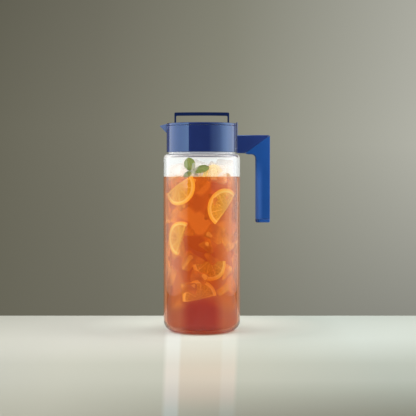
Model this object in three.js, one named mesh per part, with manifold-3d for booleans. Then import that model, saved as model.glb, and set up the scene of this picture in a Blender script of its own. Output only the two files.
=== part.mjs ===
// A two-quart iced tea pitcher: a clear cylindrical vessel, a blue collar with a pouring beak, a side
// handle that hangs free at its lower end, and a quarter-turn lid with a folding bail.
// Millimetres, +Z up. The origin is the centre of the base, the beak points to -X and the handle to +X.
// With the bail in line with the beak the lid pours and lifts off. A quarter turn clockwise closes it.

import * as THREE from 'three';
import Module from 'manifold-3d';
import { mergeVertices } from 'three/addons/utils/BufferGeometryUtils.js';
import { ConvexGeometry } from 'three/addons/geometries/ConvexGeometry.js';

const wasm = await Module();
wasm.setup();

// Clearances shared by all the pieces
const fitGap = 0.3; // round faces that slide or nest
const seatGap = 0.1; // flat faces that rest on each other
const overrun = 2; // how far a cutting shape runs past what it cuts

// Vessel
const bodyRadius = 52;
const bodyWall = 2.6;
const floorThickness = 3.4;
const baseCornerRadius = 14.5;
const shoulderHeight = 241; // top of the shoulder above the base
const shoulderRadius = 6.4;
const neckInset = 6.9; // vessel wall to the neck's wall
const neckWall = 2.2;
const neckHeight = 24.5; // above the shoulder
const beadHeight = 12.5; // snap bead above the shoulder
const beadWidth = 2.4;
const beadDepth = 0.5;

// Collar
const collarRise = 1.8; // shoulder to the collar's lower edge
const collarWall = 2.45; // round the neck
const collarHeight = 35.6;
const neckSealThickness = 1.2;
const ledgeThickness = 1.8; // ledge over the neck's rim
const collarEdge = 0.6; // chamfer on the outer edges
const rebateWidth = 2.4; // step in the top of the bore for the rim seal
const rebateDepth = 1.2;

// Bayonet: two lugs on the plug turn in two grooves in the collar
const lugCount = 2;
const firstLugAngle = THREE.MathUtils.degToRad(120);
const lockTurn = Math.PI / 2;
const lugSpan = THREE.MathUtils.degToRad(10);
const lugPlay = THREE.MathUtils.degToRad(1);
const lugDepth = 2;
const lugHeight = 2.8;

// Beak
const beakReach = 8.95; // past the collar
const beakHalfWidth = 13;
const beakTipRise = 0.6; // tip above the collar's top
const beakRootRise = 2.8; // upper edges above the collar's top, where they meet it
const beakKeelDrop = 9.8; // keel below the collar's top, where they meet
const beakKeelWidth = 5;
const beakTipWidth = 1.6;
const beakWall = 1.4;
const portHalfWidth = 9; // pouring port through the collar
const portRise = 0.6; // port's sill above the ledge

// Handle
const armHeight = 24.4;
const armDrop = 12.4; // collar top to arm top
const armHalfDepth = 10.2;
const armEdge = 0.8; // bevel along the arm's edges
const handGap = 20.8; // vessel wall to the inner face of the grip
const gripWidth = 19.2;
const gripHalfDepth = 10.5;
const gripEdge = 1.6; // rounding along the grip's edges
const fingerRadius = 8.5; // rounding of the grip's two inner edges
const fingerFade = 16; // height over which that rounding fades out below the corner
const fingerLift = 0.05; // the rounding's flanks, off the faces that they run out in
const gripLength = 118; // arm top to the lower end of the handle
const gripUndercut = 1.4; // grip's underside below the arm's
const undercutRun = 5;
const innerCornerRadius = 5;
const outerCornerRadius = 1.8;
const skinThickness = 2.4; // soft skin over the hard core
const mitreRun = 34; // horizontal length of the slanting joint between arm and grip
const backplateThickness = 0.8;
const backplateMargin = 1.4; // back plate past the arm on each side
const backplateRise = 1.3; // above the lid
const endCapHeight = 4.6;
const endCapChamfer = 1.2;
const spigotSize = 7;
const spigotLength = 8;

// Handle screws
const screwSpacing = 13;
const screwShankRadius = 1.4;
const screwHeadRadius = 2.6;
const screwHeadHeight = 1.1;
const screwLength = 11;
const screwRecess = 0.1; // head below the bore

// Lid
const flangeThickness = 3.2;
const flangeEdge = 0.9;
const lidRecessDepth = 5.5;
const lidRecessWall = 1.6; // recess to the outside of the plug
const lidFloorThickness = 1.5;
const plugPlay = 0.4; // plug to the mouth, on the radius
const plugWall = 3.2;
const plugHeight = 27.2;
const gasketHeight = 4;
const gasketDepth = 1.6; // groove in the plug
const gasketDrop = 13.2; // plug top to the groove
const gasketBulge = 0.3; // lips past the plug
const slotCount = 5;
const slotWidth = 2;
const slotPitch = THREE.MathUtils.degToRad(5);
const passageWidth = 12.3; // plug wall to socket
const socketWall = 2.6;
const socketHeight = 15;
const ribCount = 4;
const ribThickness = 1.8;
const ribHeight = 11;

// Rim seal, under the flange
const rimSealWidth = 1.6;
const rimSealGrip = 0.6; // part held in the flange's groove

// Bail
const bailInset = 3.85; // recess wall to the bail's side, room for the pin's boss
const bailHeight = 17.7; // pivot to the top of the bar
const bailBarThickness = 4.4;
const bailArmThickness = 2.3;
const bailHalfDepth = 5; // at the bar
const bailHubRadius = 2.6;
const bailCornerRadius = 1.4;
const bailCrown = 0.35; // rise of the bar at mid length
const bailEdge = 0.5;
const pivotSink = 2.6; // lid top to pivot
const pinRadius = 1.1;
const pinHeadRadius = 2;
const pinHeadThickness = 0.8;
const pinHold = 3; // pin inside its boss
const bossHalfWidth = 4.5;
const bossRoot = 0.6; // boss past the recess wall, into the rim
const bossSink = 0.4; // boss top below the lid top

// Roundness
const roundSteps = 60;
const arcSteps = 6;
const smallSteps = 20;

// Heights above the base
const neckTop = shoulderHeight + neckHeight;
const beadMiddle = shoulderHeight + beadHeight;
const collarBottom = shoulderHeight + collarRise;
const collarTop = collarBottom + collarHeight;
const ledgeBottom = neckTop + neckSealThickness + 2 * seatGap;
const ledgeTop = ledgeBottom + ledgeThickness;
const portSill = ledgeTop + portRise;
const lidSeat = collarTop + fitGap;
const lidTop = lidSeat + flangeThickness;
const lidFloor = lidTop - lidRecessDepth;
const plugTop = lidFloor - lidFloorThickness - seatGap;
const plugBottom = plugTop - plugHeight;
const lugBottom = ledgeTop + fitGap;
const lugTop = lugBottom + lugHeight;
const gasketTop = plugTop - gasketDrop;
const gasketBottom = gasketTop - gasketHeight;
const pivotHeight = lidTop - pivotSink;
const bailTop = pivotHeight + bailHeight;
const armTop = collarTop - armDrop;
const armBottom = armTop - armHeight;
const handleBottom = armTop - gripLength;
const skinBottom = handleBottom + endCapHeight + seatGap;

// Radii and reaches from the axis
const neckRadius = bodyRadius - neckInset;
const collarBore = neckRadius + fitGap;
const collarRadius = collarBore + collarWall;
const mouthRadius = neckRadius - neckWall;
const rebateRadius = mouthRadius + rebateWidth;
const plugRadius = mouthRadius - plugPlay;
const plugBore = plugRadius - plugWall;
const lugRadius = plugRadius + lugDepth;
const lidRecessRadius = plugRadius - lidRecessWall;
const socketRadius = plugBore - passageWidth;
const rimSealBore = mouthRadius + (rebateWidth - rimSealWidth) / 2;
const rimSealRadius = rimSealBore + rimSealWidth;
const gripInner = bodyRadius + handGap;
const gripOuter = gripInner + gripWidth;
const mitreFoot = gripOuter - mitreRun;
const screwHeadTop = collarBore + screwRecess;
const screwTip = screwHeadTop + screwLength;
const bailHalf = lidRecessRadius - bailInset;
const bailInside = bailHalf - bailArmThickness;
const bossInside = bailHalf + fitGap;

const lugAngles = Array.from({ length: lugCount }, (_, i) => firstLugAngle + (2 * Math.PI * i) / lugCount);
const screwHeights = [-1, 1].map((side) => armBottom + armHeight / 2 + (side * screwSpacing) / 2);

// Turns a closed geometry into a solid that can be cut and joined.
function solid(geometry) {
  const bare = new THREE.BufferGeometry();
  bare.setAttribute('position', geometry.getAttribute('position'));
  bare.setIndex(geometry.index);
  const merged = mergeVertices(bare);
  const points = merged.getAttribute('position').array;
  const faces = [];
  const index = merged.index.array;
  for (let i = 0; i < index.length; i += 3) {
    const [a, b, c] = [index[i], index[i + 1], index[i + 2]];
    if (a !== b && b !== c && c !== a) faces.push(a, b, c);
  }
  const corner = (i) => new THREE.Vector3().fromArray(points, faces[i] * 3);
  let volume = 0;
  for (let i = 0; i < faces.length; i += 3) {
    volume += corner(i).dot(corner(i + 1).cross(corner(i + 2)));
  }
  if (volume < 0) faces.reverse();
  return new wasm.Manifold(new wasm.Mesh({
    numProp: 3,
    vertProperties: Float32Array.from(points),
    triVerts: Uint32Array.from(faces),
  }));
}

function join(first, ...others) {
  return others.reduce((all, next) => all.add(next), first);
}

function cut(first, ...others) {
  return others.reduce((all, next) => all.subtract(next), first);
}

function common(first, second) {
  return first.intersect(second);
}

// A named mesh of a solid, in the colour and finish of its material.
function piece(name, body, material) {
  const mesh = body.getMesh();
  const geometry = new THREE.BufferGeometry();
  geometry.setAttribute('position', new THREE.BufferAttribute(mesh.vertProperties, mesh.numProp));
  geometry.setIndex(new THREE.BufferAttribute(mesh.triVerts, 1));
  geometry.computeVertexNormals();
  const made = new THREE.Mesh(geometry, material);
  made.name = name;
  return made;
}

// Points of an arc in a profile, from one angle to another.
function arc(x, y, radius, from, to, steps = arcSteps) {
  return Array.from({ length: steps + 1 }, (_, i) => {
    const angle = from + ((to - from) * i) / steps;
    return [x + radius * Math.cos(angle), y + radius * Math.sin(angle)];
  });
}

// A solid of revolution about Z from an outline of [radius, height] points.
function revolve(outline, steps = roundSteps) {
  const points = [...outline, outline[0]].map(([x, y]) => new THREE.Vector2(Math.max(x, 0), y));
  return solid(new THREE.LatheGeometry(points, steps).rotateX(Math.PI / 2));
}

function ring(inner, outer, low, high, steps = roundSteps) {
  return revolve([[inner, low], [outer, low], [outer, high], [inner, high]], steps);
}

function disc(radius, low, high, steps = roundSteps) {
  return ring(0, radius, low, high, steps);
}

// An outline of [x, y] points pulled up along Z between two heights.
function prism(outline, low, high) {
  const shape = new THREE.Shape(outline.map(([x, y]) => new THREE.Vector2(x, y)));
  const geometry = new THREE.ExtrudeGeometry(shape, { depth: high - low, bevelEnabled: false });
  return solid(geometry.translate(0, 0, low));
}

// An outline of [x, z] points spread equally to both sides along Y, with its long edges bevelled.
function slab(outline, halfDepth, bevel = 0) {
  const shape = new THREE.Shape(outline.map(([x, z]) => new THREE.Vector2(x, z)));
  const geometry = new THREE.ExtrudeGeometry(shape, {
    depth: 2 * (halfDepth - bevel),
    bevelEnabled: bevel > 0,
    bevelThickness: bevel,
    bevelSize: bevel,
    bevelOffset: -bevel,
    bevelSegments: 2,
  });
  return solid(geometry.translate(0, 0, bevel - halfDepth).rotateX(Math.PI / 2));
}

// A piece of a ring between two angles.
function sector(inner, outer, low, high, from, to) {
  const steps = Math.max(2, Math.ceil(((to - from) / (2 * Math.PI)) * roundSteps));
  return prism([...arc(0, 0, outer, from, to, steps), ...arc(0, 0, inner, to, from, steps)], low, high);
}

// A round bar along X.
function barAlongX(radius, from, to, z, endRadius = radius) {
  const geometry = new THREE.CylinderGeometry(endRadius, radius, to - from, smallSteps);
  return solid(geometry.rotateZ(-Math.PI / 2).translate((from + to) / 2, 0, z));
}

function block(x, y, z) {
  const size = [x[1] - x[0], y[1] - y[0], z[1] - z[0]];
  const middle = [x[0] + x[1], y[0] + y[1], z[0] + z[1]].map((sum) => sum / 2);
  return solid(new THREE.BoxGeometry(...size).translate(...middle));
}

// A solid spanned over points.
function hull(points) {
  return solid(new ConvexGeometry(points.map((point) => new THREE.Vector3(...point))));
}

// A bar that points away from the axis at an angle.
function spoke(from, to, width, low, high, angle) {
  const geometry = new THREE.BoxGeometry(to - from, width, high - low);
  return solid(geometry.translate((from + to) / 2, 0, (low + high) / 2).rotateZ(angle));
}

// An outline of [y, z] points pulled along X between two places.
function lengthwise(outline, from, to) {
  const shape = new THREE.Shape(outline.map(([y, z]) => new THREE.Vector2(y, z)));
  const geometry = new THREE.ExtrudeGeometry(shape, { depth: to - from, bevelEnabled: false });
  return solid(geometry.translate(0, 0, from).rotateX(Math.PI / 2).rotateZ(Math.PI / 2));
}

// The clear vessel: rounded base, straight wall, rounded shoulder and a neck with a snap bead.
function vessel() {
  const outer = { x: bodyRadius - baseCornerRadius, y: baseCornerRadius, r: baseCornerRadius };
  const inner = { x: outer.x, y: floorThickness + outer.r - bodyWall, r: outer.r - bodyWall };
  const shoulder = [bodyRadius - shoulderRadius, shoulderHeight - shoulderRadius];
  return revolve([
    [0, 0],
    ...arc(outer.x, outer.y, outer.r, -Math.PI / 2, 0, 2 * arcSteps),
    ...arc(...shoulder, shoulderRadius, 0, Math.PI / 2),
    [neckRadius, shoulderHeight],
    [neckRadius, beadMiddle - beadWidth / 2],
    [neckRadius + beadDepth, beadMiddle],
    [neckRadius, beadMiddle + beadWidth / 2],
    [neckRadius, neckTop],
    [mouthRadius, neckTop],
    [mouthRadius, shoulderHeight - bodyWall],
    ...arc(...shoulder, shoulderRadius - bodyWall, Math.PI / 2, 0),
    ...arc(inner.x, inner.y, inner.r, 0, -Math.PI / 2),
    [0, floorThickness],
  ]);
}

// The flat gasket between the neck's rim and the collar's ledge.
function neckSeal() {
  const low = neckTop + seatGap;
  return ring(mouthRadius, neckRadius, low, low + neckSealThickness);
}

// The beak's form, spanned from its root in the collar to its tip. An inset draws its sides in.
function beakForm(inset, rootX, high) {
  const drawnIn = Math.SQRT2 * inset;
  const tipX = -(collarRadius + beakReach - drawnIn);
  const keel = collarTop - beakKeelDrop + 2 * inset;
  const lip = collarTop + beakTipRise;
  return hull([-1, 1].flatMap((side) => [
    [rootX, side * (beakHalfWidth - drawnIn), collarTop + beakRootRise],
    [rootX, side * (beakHalfWidth - drawnIn), high],
    [rootX, side * (beakKeelWidth / 2 - inset), keel],
    [-(collarRadius - collarEdge), side * (beakKeelWidth / 2 - inset), keel],
    [tipX, (side * beakTipWidth) / 2, lip - beakTipWidth / 2],
    [tipX, (side * beakTipWidth) / 2, Math.max(lip, high - beakRootRise + beakTipRise)],
  ]));
}

// The beak outside the collar, clear of the turning lid.
function beakShell() {
  const rootX = -(Math.sqrt(collarRadius ** 2 - beakHalfWidth ** 2) - collarEdge);
  const above = lidTop + overrun;
  return cut(
    beakForm(0, rootX, collarTop + beakRootRise),
    disc(rebateRadius, collarTop - rebateDepth, above),
    disc(collarRadius + fitGap, collarTop, above),
  );
}

// The pouring port, a bay in the collar's wall, and the trough that leads up the beak to its tip.
function pourChannel() {
  const halfAngle = Math.asin(portHalfWidth / mouthRadius);
  const high = collarTop + beakRootRise + overrun;
  const bay = [mouthRadius - plugPlay, collarBore, portSill, high];
  const trough = beakForm(beakWall, -(collarBore - plugPlay), high + overrun);
  return join(sector(...bay, Math.PI - halfAngle, Math.PI + halfAngle), trough);
}

// The grooves that the plug's lugs drop into and turn along.
function bayonetGrooves() {
  const half = lugSpan / 2 + lugPlay;
  const [inner, outer] = [plugRadius - plugPlay, lugRadius + fitGap];
  const [low, high] = [lugBottom - fitGap, lugTop + fitGap];
  return lugAngles.flatMap((angle) => [
    sector(inner, outer, low, collarTop + overrun, angle - half, angle + half),
    sector(inner, outer, low, high, angle - lockTurn - half, angle + half),
  ]);
}

// The collar, pressed on the neck, with the beak at the left and the handle's screw holes at the right.
function collar() {
  const beadReach = beadWidth / 2 + fitGap;
  const shell = revolve([
    [collarBore, collarBottom],
    [collarRadius - collarEdge, collarBottom],
    [collarRadius, collarBottom + collarEdge],
    [collarRadius, collarTop - collarEdge],
    [collarRadius - collarEdge, collarTop],
    [rebateRadius, collarTop],
    [rebateRadius, collarTop - rebateDepth],
    [mouthRadius, collarTop - rebateDepth],
    [mouthRadius, ledgeBottom],
    [collarBore, ledgeBottom],
    [collarBore, beadMiddle + beadReach],
    [collarBore + beadDepth, beadMiddle],
    [collarBore, beadMiddle - beadReach],
  ]);
  const screwHoles = screwHeights.flatMap((z) => [
    barAlongX(screwHeadRadius + fitGap, mouthRadius, screwHeadTop + screwHeadHeight + seatGap, z),
    barAlongX(screwShankRadius + fitGap, mouthRadius, collarRadius + overrun, z),
  ]);
  return cut(join(shell, beakShell()), pourChannel(), ...bayonetGrooves(), ...screwHoles);
}

// The handle's outline, drawn in all round by an inset. The outer corner is round where its radius is
// more than the edge's bevel.
function handleOutline(inset, bottom, edge) {
  const fillet = { x: gripInner - innerCornerRadius, y: armBottom - gripUndercut - innerCornerRadius };
  const [outer, top] = [gripOuter - inset, armTop - inset];
  const radius = outerCornerRadius - inset;
  const corner = radius > edge ? arc(outer - radius, top - radius, radius, 0, Math.PI / 2) : [[outer, top]];
  return [
    [neckRadius, armBottom + inset],
    [mitreFoot, armBottom + inset],
    [mitreFoot + undercutRun, armBottom - gripUndercut + inset],
    ...arc(fillet.x, fillet.y, innerCornerRadius + inset, Math.PI / 2, 0),
    [gripInner + inset, bottom],
    [outer, bottom],
    ...corner,
    [neckRadius, top],
  ];
}

// All that lies above the slanting joint between arm and grip, less a clearance.
function aboveMitre(clearance) {
  const slope = Math.atan2(armHeight, mitreRun);
  const shift = clearance / Math.sin(slope);
  const run = overrun / Math.tan(slope);
  return slab([
    [neckRadius - overrun, armBottom - overrun],
    [mitreFoot + shift - run, armBottom - overrun],
    [gripOuter + shift + run, armTop + overrun],
    [neckRadius - overrun, armTop + overrun],
  ], gripHalfDepth + overrun);
}

// What the finger rounding takes off an inner edge of the grip, or of what lies inside it. It fades out
// below the corner to the edge's own small radius.
function fingerRounding(side, inset, low, edge) {
  const [x, y] = [gripInner + inset - fingerLift, side * (gripHalfDepth - inset + fingerLift)];
  const radius = fingerRadius - inset;
  const high = armBottom - gripUndercut - innerCornerRadius;
  const quarter = (size, z) => (
    arc(x + size, y - side * size, size, Math.PI, Math.PI - (side * Math.PI) / 2).map((at) => [...at, z])
  );
  const past = radius + overrun;
  const flanks = (z) => [[x, y - side * past, z], [x + past, y - side * past, z], [x + past, y, z]];
  const kept = hull([
    ...quarter(radius, low - 2 * overrun),
    ...flanks(low - 2 * overrun),
    ...quarter(radius, high - fingerFade),
    ...quarter(edge, high),
    ...flanks(high),
  ]);
  const across = [y - side * radius, y + side * overrun].sort((a, b) => a - b);
  return cut(block([x - overrun, x + radius], across, [low - overrun, high]), kept);
}

// The hard core that the grip's soft skin covers.
function handleCore(inset, bottom) {
  return cut(
    slab(handleOutline(inset, bottom, armEdge), gripHalfDepth - inset, armEdge),
    ...[-1, 1].map((side) => fingerRounding(side, inset, bottom, armEdge)),
  );
}

// The spigot that holds the end cap in the core.
function spigot(clearance) {
  const half = spigotSize / 2 + clearance;
  const middle = (gripInner + gripOuter) / 2;
  return block(
    [middle - half, middle + half],
    [-half, half],
    [handleBottom + endCapHeight / 2, handleBottom + endCapHeight + spigotLength + clearance],
  );
}

// The hard part of the handle: back plate, arm and core, with a socket for the end cap's spigot.
function handleFrame() {
  const plateRadius = collarRadius + fitGap;
  const plateAngle = Math.asin((armHalfDepth + backplateMargin) / plateRadius);
  const plate = sector(
    plateRadius - overrun,
    plateRadius + backplateThickness,
    collarBottom,
    lidTop + backplateRise,
    -plateAngle,
    plateAngle,
  );
  const arm = common(slab(handleOutline(0, handleBottom, armEdge), armHalfDepth, armEdge), aboveMitre(0));
  const clearOfCollar = disc(plateRadius, collarBottom - overrun, lidTop + 2 * overrun);
  const pilotHoles = screwHeights.map((z) => (
    barAlongX(screwShankRadius + fitGap, collarRadius, screwTip + fitGap, z)
  ));
  const whole = join(arm, handleCore(skinThickness, skinBottom), plate);
  return cut(whole, clearOfCollar, ...pilotHoles, spigot(fitGap));
}

// The soft grip, a skin round the core that ends at the top in the slanting joint.
function handleGrip() {
  const skin = slab(handleOutline(0, skinBottom, gripEdge), gripHalfDepth, gripEdge);
  return cut(
    skin,
    aboveMitre(fitGap),
    handleCore(skinThickness - fitGap, skinBottom - overrun),
    ...[-1, 1].map((side) => fingerRounding(side, 0, skinBottom, gripEdge)),
  );
}

// The cap that closes the lower end of the handle.
function endCap() {
  const top = handleBottom + endCapHeight;
  const plate = slab([
    [gripInner + endCapChamfer, handleBottom],
    [gripOuter - endCapChamfer, handleBottom],
    [gripOuter, handleBottom + endCapChamfer],
    [gripOuter, top],
    [gripInner, top],
    [gripInner, handleBottom + endCapChamfer],
  ], gripHalfDepth, endCapChamfer);
  const rounded = [-1, 1].map((side) => fingerRounding(side, 0, handleBottom, endCapChamfer));
  return join(cut(plate, ...rounded), spigot(0));
}

// A screw from inside the collar into the arm, with a flat head and a pointed end.
function handleScrew(z) {
  const headEnd = screwHeadTop + screwHeadHeight;
  const pointStart = screwTip - screwShankRadius;
  return join(
    barAlongX(screwHeadRadius, screwHeadTop, headEnd, z),
    barAlongX(screwShankRadius, headEnd - screwHeadHeight / 2, pointStart, z),
    barAlongX(screwShankRadius, pointStart, screwTip, z, screwShankRadius / 2),
  );
}

// The lid's cover: a flange over the collar and a recess for the bail, with a boss for each pin.
function lidCover() {
  const shell = revolve([
    [0, lidFloor - lidFloorThickness],
    [plugRadius, lidFloor - lidFloorThickness],
    [plugRadius, lidSeat],
    [rimSealBore - seatGap, lidSeat],
    [rimSealBore - seatGap, lidSeat + rimSealGrip + seatGap],
    [rimSealRadius + seatGap, lidSeat + rimSealGrip + seatGap],
    [rimSealRadius + seatGap, lidSeat],
    [collarRadius, lidSeat],
    ...arc(collarRadius - flangeEdge, lidTop - flangeEdge, flangeEdge, 0, Math.PI / 2, arcSteps / 2),
    [lidRecessRadius, lidTop],
    [lidRecessRadius, lidFloor],
    [0, lidFloor],
  ]);
  const bosses = [-1, 1].map((side) => {
    const reach = [side * bossInside, side * (lidRecessRadius + bossRoot)].sort((a, b) => a - b);
    return block(reach, [-bossHalfWidth, bossHalfWidth], [lidFloor - seatGap, lidTop - bossSink]);
  });
  return cut(join(shell, ...bosses), ...[-1, 1].map((side) => pinBar(side, pinRadius + fitGap, fitGap)));
}

// The straight part of a hinge pin, in the bail's arm and its boss.
function pinBar(side, radius, clearance) {
  const ends = [side * bailInside, side * (bossInside + pinHold + clearance)];
  return barAlongX(radius, Math.min(...ends), Math.max(...ends), pivotHeight);
}

// A hinge pin, with its head on the inner side of the bail's arm.
function bailPin(side) {
  const head = [bailInside - fitGap - pinHeadThickness, bailInside - fitGap].map((x) => side * x);
  const neck = [head[0], side * (bailInside + bailArmThickness / 2)];
  return join(
    barAlongX(pinHeadRadius, Math.min(...head), Math.max(...head), pivotHeight),
    barAlongX(pinRadius, Math.min(...neck), Math.max(...neck), pivotHeight),
    pinBar(side, pinRadius, 0),
  );
}

// The plug: a wall with strainer slots, a gasket groove and two lugs, and a ribbed socket inside it.
function lidPlug() {
  const groove = plugRadius - gasketDepth;
  const wall = revolve([
    [plugBore, plugBottom],
    [plugRadius - plugPlay, plugBottom],
    [plugRadius, plugBottom + plugPlay],
    [plugRadius, gasketBottom],
    [groove, gasketBottom],
    [groove, gasketTop],
    [plugRadius, gasketTop],
    [plugRadius, plugTop],
    [plugBore, plugTop],
  ]);
  const socket = ring(socketRadius - socketWall, socketRadius, plugTop - socketHeight, plugTop);
  const ribs = Array.from({ length: ribCount }, (_, i) => spoke(
    socketRadius - socketWall / 2,
    plugBore + plugWall / 2,
    ribThickness,
    plugTop - ribHeight,
    plugTop,
    (2 * Math.PI * (i + 1 / 2)) / ribCount,
  ));
  const lugs = lugAngles.map((angle) => (
    sector(plugRadius - plugWall / 2, lugRadius, lugBottom, lugTop, angle - lugSpan / 2, angle + lugSpan / 2)
  ));
  const slots = Array.from({ length: slotCount }, (_, i) => spoke(
    plugBore - overrun,
    plugRadius + overrun,
    slotWidth,
    portSill,
    plugTop + overrun,
    Math.PI + (i - (slotCount - 1) / 2) * slotPitch,
  ));
  return cut(join(wall, socket, ...ribs, ...lugs), ...slots);
}

// The plug's gasket, with two lips that bear on the neck.
function lidGasket() {
  const [low, high] = [gasketBottom + seatGap, gasketTop - seatGap];
  const [lip, waist] = [plugRadius + gasketBulge, plugRadius - gasketBulge];
  const step = (high - low) / 4;
  return revolve([
    [plugRadius - gasketDepth + fitGap, low],
    [waist, low],
    [lip, low + step],
    [waist, low + 2 * step],
    [lip, high - step],
    [waist, high],
    [plugRadius - gasketDepth + fitGap, high],
  ]);
}

// The seal under the lid's flange.
function rimSeal() {
  return ring(rimSealBore, rimSealRadius, collarTop - rebateDepth + seatGap, lidSeat + rimSealGrip);
}

// The bail: a flat bar on two arms that narrow to a round hub at each pin.
function bail() {
  const crown = (x, rise) => [x, rise + bailCrown * (1 - (x / bailHalf) ** 2)];
  const bar = (half, height, radius) => {
    const [x, z] = [half - radius, height - radius];
    const along = Array.from({ length: arcSteps + 1 }, (_, i) => x - (2 * x * i) / arcSteps);
    return [
      ...arc(x, z, radius, 0, Math.PI / 2, arcSteps / 2),
      ...along.slice(1, -1).map((at) => crown(at, height)),
      ...arc(-x, z, radius, Math.PI / 2, Math.PI, arcSteps / 2),
    ];
  };
  const low = pivotHeight - bailHubRadius;
  const top = bailTop - bailCrown;
  const front = slab([
    [bailHalf, low],
    ...bar(bailHalf, top, bailCornerRadius),
    [-bailHalf, low],
    [-bailInside, low],
    ...bar(bailInside, top - bailBarThickness, bailCornerRadius).reverse(),
    [bailInside, low],
  ], bailHalfDepth, bailEdge);
  const side = lengthwise([
    ...arc(0, pivotHeight, bailHubRadius, Math.PI, 2 * Math.PI, 2 * arcSteps),
    [bailHalfDepth, top - bailBarThickness],
    [bailHalfDepth, bailTop + overrun],
    [-bailHalfDepth, bailTop + overrun],
    [-bailHalfDepth, top - bailBarThickness],
  ], -bailHalf - overrun, bailHalf + overrun);
  const pinHole = barAlongX(pinRadius + fitGap, -bailHalf - overrun, bailHalf + overrun, pivotHeight);
  return cut(common(front, side), pinHole);
}

function finish(color, roughness, metalness = 0, opacity = 1) {
  return new THREE.MeshStandardMaterial({
    color,
    roughness,
    metalness,
    opacity,
    transparent: opacity < 1,
  });
}

const clearPlastic = () => finish('#f2f4f4', 0.05, 0, 0.3);
const gloss = () => finish('#1c4282', 0.15);
const softBlue = () => finish('#1f4c94', 0.6);
const silicone = () => finish('#e6e8e8', 0.5);
const steel = () => finish('#b8babd', 0.3, 1);

const pitcher = new THREE.Group();
pitcher.add(
  piece('pitcher_body', vessel(), clearPlastic()),
  piece('neck_seal', neckSeal(), silicone()),
  piece('spout_collar', collar(), gloss()),
  piece('handle_frame', handleFrame(), gloss()),
  piece('handle_grip', handleGrip(), softBlue()),
  piece('handle_end_cap', endCap(), softBlue()),
  piece('handle_screw_lower', handleScrew(screwHeights[0]), steel()),
  piece('handle_screw_upper', handleScrew(screwHeights[1]), steel()),
  piece('lid_gasket', lidGasket(), silicone()),
  piece('lid_plug', lidPlug(), gloss()),
  piece('lid_cover', lidCover(), gloss()),
  piece('rim_seal', rimSeal(), silicone()),
  piece('bail_pin_left', bailPin(-1), steel()),
  piece('bail_pin_right', bailPin(1), steel()),
  piece('lid_bail', bail(), gloss()),
);

export default pitcher;
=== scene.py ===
"""Dresses the iced tea pitcher: clear vessel, blue collar and lid, free-ended handle, tea and fruit.

Pieces are sized in millimetres until each is finished, when it goes to metres. The studio is in metres.
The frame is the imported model's: +Z up, the beak at -X, the handle at +X, the photographed side at -Y.
"""

from __future__ import annotations

import logging
import math
import random
from collections.abc import Callable
from dataclasses import dataclass
from enum import Enum

import bmesh
import bpy
from bmesh.types import BMEdge, BMesh, BMFace, BMVert
from mathutils import Euler, Matrix, Vector


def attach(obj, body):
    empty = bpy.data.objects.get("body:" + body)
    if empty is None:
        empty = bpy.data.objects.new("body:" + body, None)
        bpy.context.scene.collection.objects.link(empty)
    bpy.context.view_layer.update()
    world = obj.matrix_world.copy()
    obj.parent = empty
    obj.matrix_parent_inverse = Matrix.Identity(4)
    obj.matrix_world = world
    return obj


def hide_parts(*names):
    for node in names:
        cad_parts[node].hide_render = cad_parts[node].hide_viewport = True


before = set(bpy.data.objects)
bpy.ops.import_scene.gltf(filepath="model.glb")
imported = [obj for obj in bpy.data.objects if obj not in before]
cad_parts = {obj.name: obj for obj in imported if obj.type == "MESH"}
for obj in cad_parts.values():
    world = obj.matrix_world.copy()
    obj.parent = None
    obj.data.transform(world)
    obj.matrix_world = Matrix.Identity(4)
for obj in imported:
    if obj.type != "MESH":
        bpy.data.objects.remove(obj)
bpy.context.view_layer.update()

log = logging.getLogger("pitcher")

MM = 0.001

# Roundness of what is turned
ROUND_STEPS = 144
FILLET_STEPS = 5
SMOOTH_ANGLE = math.radians(32)

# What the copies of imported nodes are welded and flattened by
WELD_GAP = 0.002
FLAT_DEGREES = 0.5

Point2 = tuple[float, float]
Point3 = tuple[float, float, float]
Corner = tuple[float, float, float]  # x, z and the radius that rounds it
Colour = tuple[float, float, float, float]
Stop = tuple[float, str]  # a place from 0 to 1 and its hex colour
Socket = bpy.types.NodeSocket


class Body(Enum):
    """The bodies of the frame that pieces ride on."""

    PITCHER = "pitcher"
    GASKET = "gasket"
    LID = "lid"
    BAIL = "bail"


class Slot(Enum):
    """The material slots."""

    CLEAR = "clear_body"
    GLOSS = "blue_gloss"
    GRIP = "blue_grip"
    CAP = "blue_cap"
    SEAL = "pale_seal"
    STEEL = "steel"


# Colours and nodes


def linear(colour: str) -> Colour:
    """Turns an sRGB hex colour into the linear values that shaders take.

    Args:
        colour: six hex digits after a hash sign.

    Returns:
        Linear red, green and blue, and an alpha of one.
    """
    parts = [int(colour[i : i + 2], 16) / 255 for i in (1, 3, 5)]
    low = [c / 12.92 for c in parts]
    high = [((c + 0.055) / 1.055) ** 2.4 for c in parts]
    red, green, blue = (a if c <= 0.04045 else b for c, a, b in zip(parts, low, high))
    return red, green, blue, 1.0


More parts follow.
